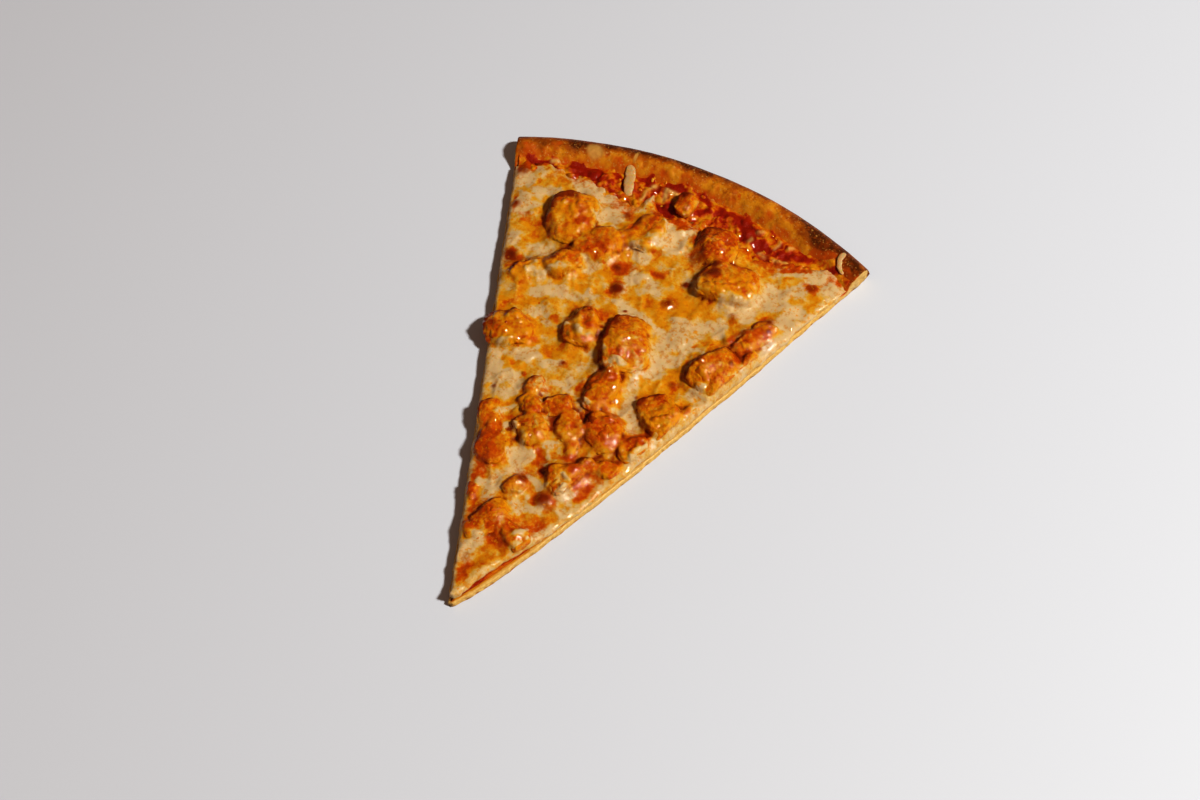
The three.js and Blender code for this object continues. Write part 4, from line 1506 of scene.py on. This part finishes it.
scatter = scatter_tree()
print("the scatter tree has", len(scatter.nodes), "nodes")

# %% [markdown]
# ## Specks and bits
# The specks are few and small, and lie on the cheese in loose groups. The bits are crowded and uneven, and
# thin out towards both sides of the red band.

# %% Scatter the specks and the bits
specks = grow(
    "sauce_specks",
    scatter,
    cheese,
    Mask="flecks",
    Density=600.0,
    Smallest=0.4 * MM,
    Largest=1.0 * MM,
    Flatness=0.22,
    Narrowest=0.7,
    Seed=7,
    Finish=speck_look,
)
stand_for(specks, "sauce")
bits = grow(
    "cheesy_sauce_bits",
    scatter,
    sauce,
    Mask="bits",
    Density=12000.0,
    Smallest=0.6 * MM,
    Largest=1.6 * MM,
    Flatness=0.28,
    Narrowest=0.35,
    Seed=8,
    Finish=bit_look,
)
stand_for(bits, "sauce")

# %% [markdown]
# ## Table and light
# The slice lies on a plain pale table. A soft lamp stands on the right and a little behind, about fifty
# degrees up, so that every lump throws a short shadow to the left. A weak warm one fills in from the other
# side, and the rest is a dim warm room.

# %% Table and light
TABLE_HALF = 12  # metres, so that its edge is far away in every view
TABLE_COLOUR = (0.58, 0.6, 0.71, 1)
ROOM_COLOUR = (1.0, 0.72, 0.52, 1)
ROOM_STRENGTH = 0.13


def away_from(azimuth, elevation):
    """The direction from the slice to something that looks at it from there."""
    a, e = math.radians(azimuth), math.radians(elevation)
    return Vector((math.sin(a) * math.cos(e), -math.cos(a) * math.cos(e), math.sin(e)))


def lamp(name, azimuth, elevation, distance, size, power, tint):
    data = bpy.data.lights.new(name, "AREA")
    data.shape = "DISK"
    data.size = size
    data.energy = power
    data.color = tint
    piece = bpy.data.objects.new(name, data)
    back = away_from(azimuth, elevation)
    piece.location = back * distance
    piece.rotation_euler = back.to_track_quat("Z", "Y").to_euler()
    bpy.context.scene.collection.objects.link(piece)


table_mesh = bpy.data.meshes.new("table")
corners = [(TABLE_HALF * x, TABLE_HALF * y, 0) for x, y in ((-1, -1), (1, -1), (1, 1), (-1, 1))]
table_mesh.from_pydata(corners, [], [(0, 1, 2, 3)])
table = bpy.data.objects.new("table", table_mesh)
bpy.context.scene.collection.objects.link(table)
table_finish, _, table_shader = new_finish("table", Roughness=0.6)
table_shader["Base Color"].default_value = TABLE_COLOUR
wear([table], table_finish)

lamp("key", azimuth=100, elevation=50, distance=3.0, size=0.36, power=91, tint=(0.93, 0.935, 0.82))
lamp("fill", azimuth=-60, elevation=45, distance=3.0, size=2.4, power=3, tint=(1.0, 0.5, 0.25))
world = bpy.data.worlds.new("room")
world.use_nodes = True
room = world.node_tree.nodes["Background"].inputs
room["Color"].default_value = ROOM_COLOUR
room["Strength"].default_value = ROOM_STRENGTH
bpy.context.scene.world = world
bpy.context.scene.view_settings.view_transform = "Standard"
bpy.context.scene.view_settings.look = "High Contrast"
print("lamps:", ", ".join(light.name for light in bpy.data.lights))

# %% [markdown]
# ## Camera
# The camera looks down at the slice from the front right, from just under a metre away, and is turned a
# little about its own line of sight.

# %% Camera
CAMERA_AZIMUTH = 27.96
CAMERA_ELEVATION = 57.75
CAMERA_DISTANCE = 963.6
CAMERA_ROLL = 1.49
LENS = 54.4
AIM_ACROSS, AIM_ALONG = 12.3, 143.6

camera_data = bpy.data.cameras.new("camera")
camera_data.lens = LENS
camera_data.sensor_width = 36
camera_data.clip_start, camera_data.clip_end = 0.01, 20
camera = bpy.data.objects.new("camera", camera_data)
back = away_from(CAMERA_AZIMUTH, CAMERA_ELEVATION)
aim = Vector((AIM_ACROSS, AIM_ALONG + CENTRE, 0)) * MM
camera.location = aim + back * CAMERA_DISTANCE * MM
roll = Quaternion((0, 0, 1), math.radians(-CAMERA_ROLL))
camera.rotation_euler = (back.to_track_quat("Z", "Y") @ roll).to_euler()
bpy.context.scene.collection.objects.link(camera)
bpy.context.scene.camera = camera
print("camera at", [round(v, 3) for v in camera.location])

# %% [markdown]
# ## Finish
# The box round everything that shows has to stay close to the box round the solid parts.

# %% Finish
bpy.context.view_layer.update()
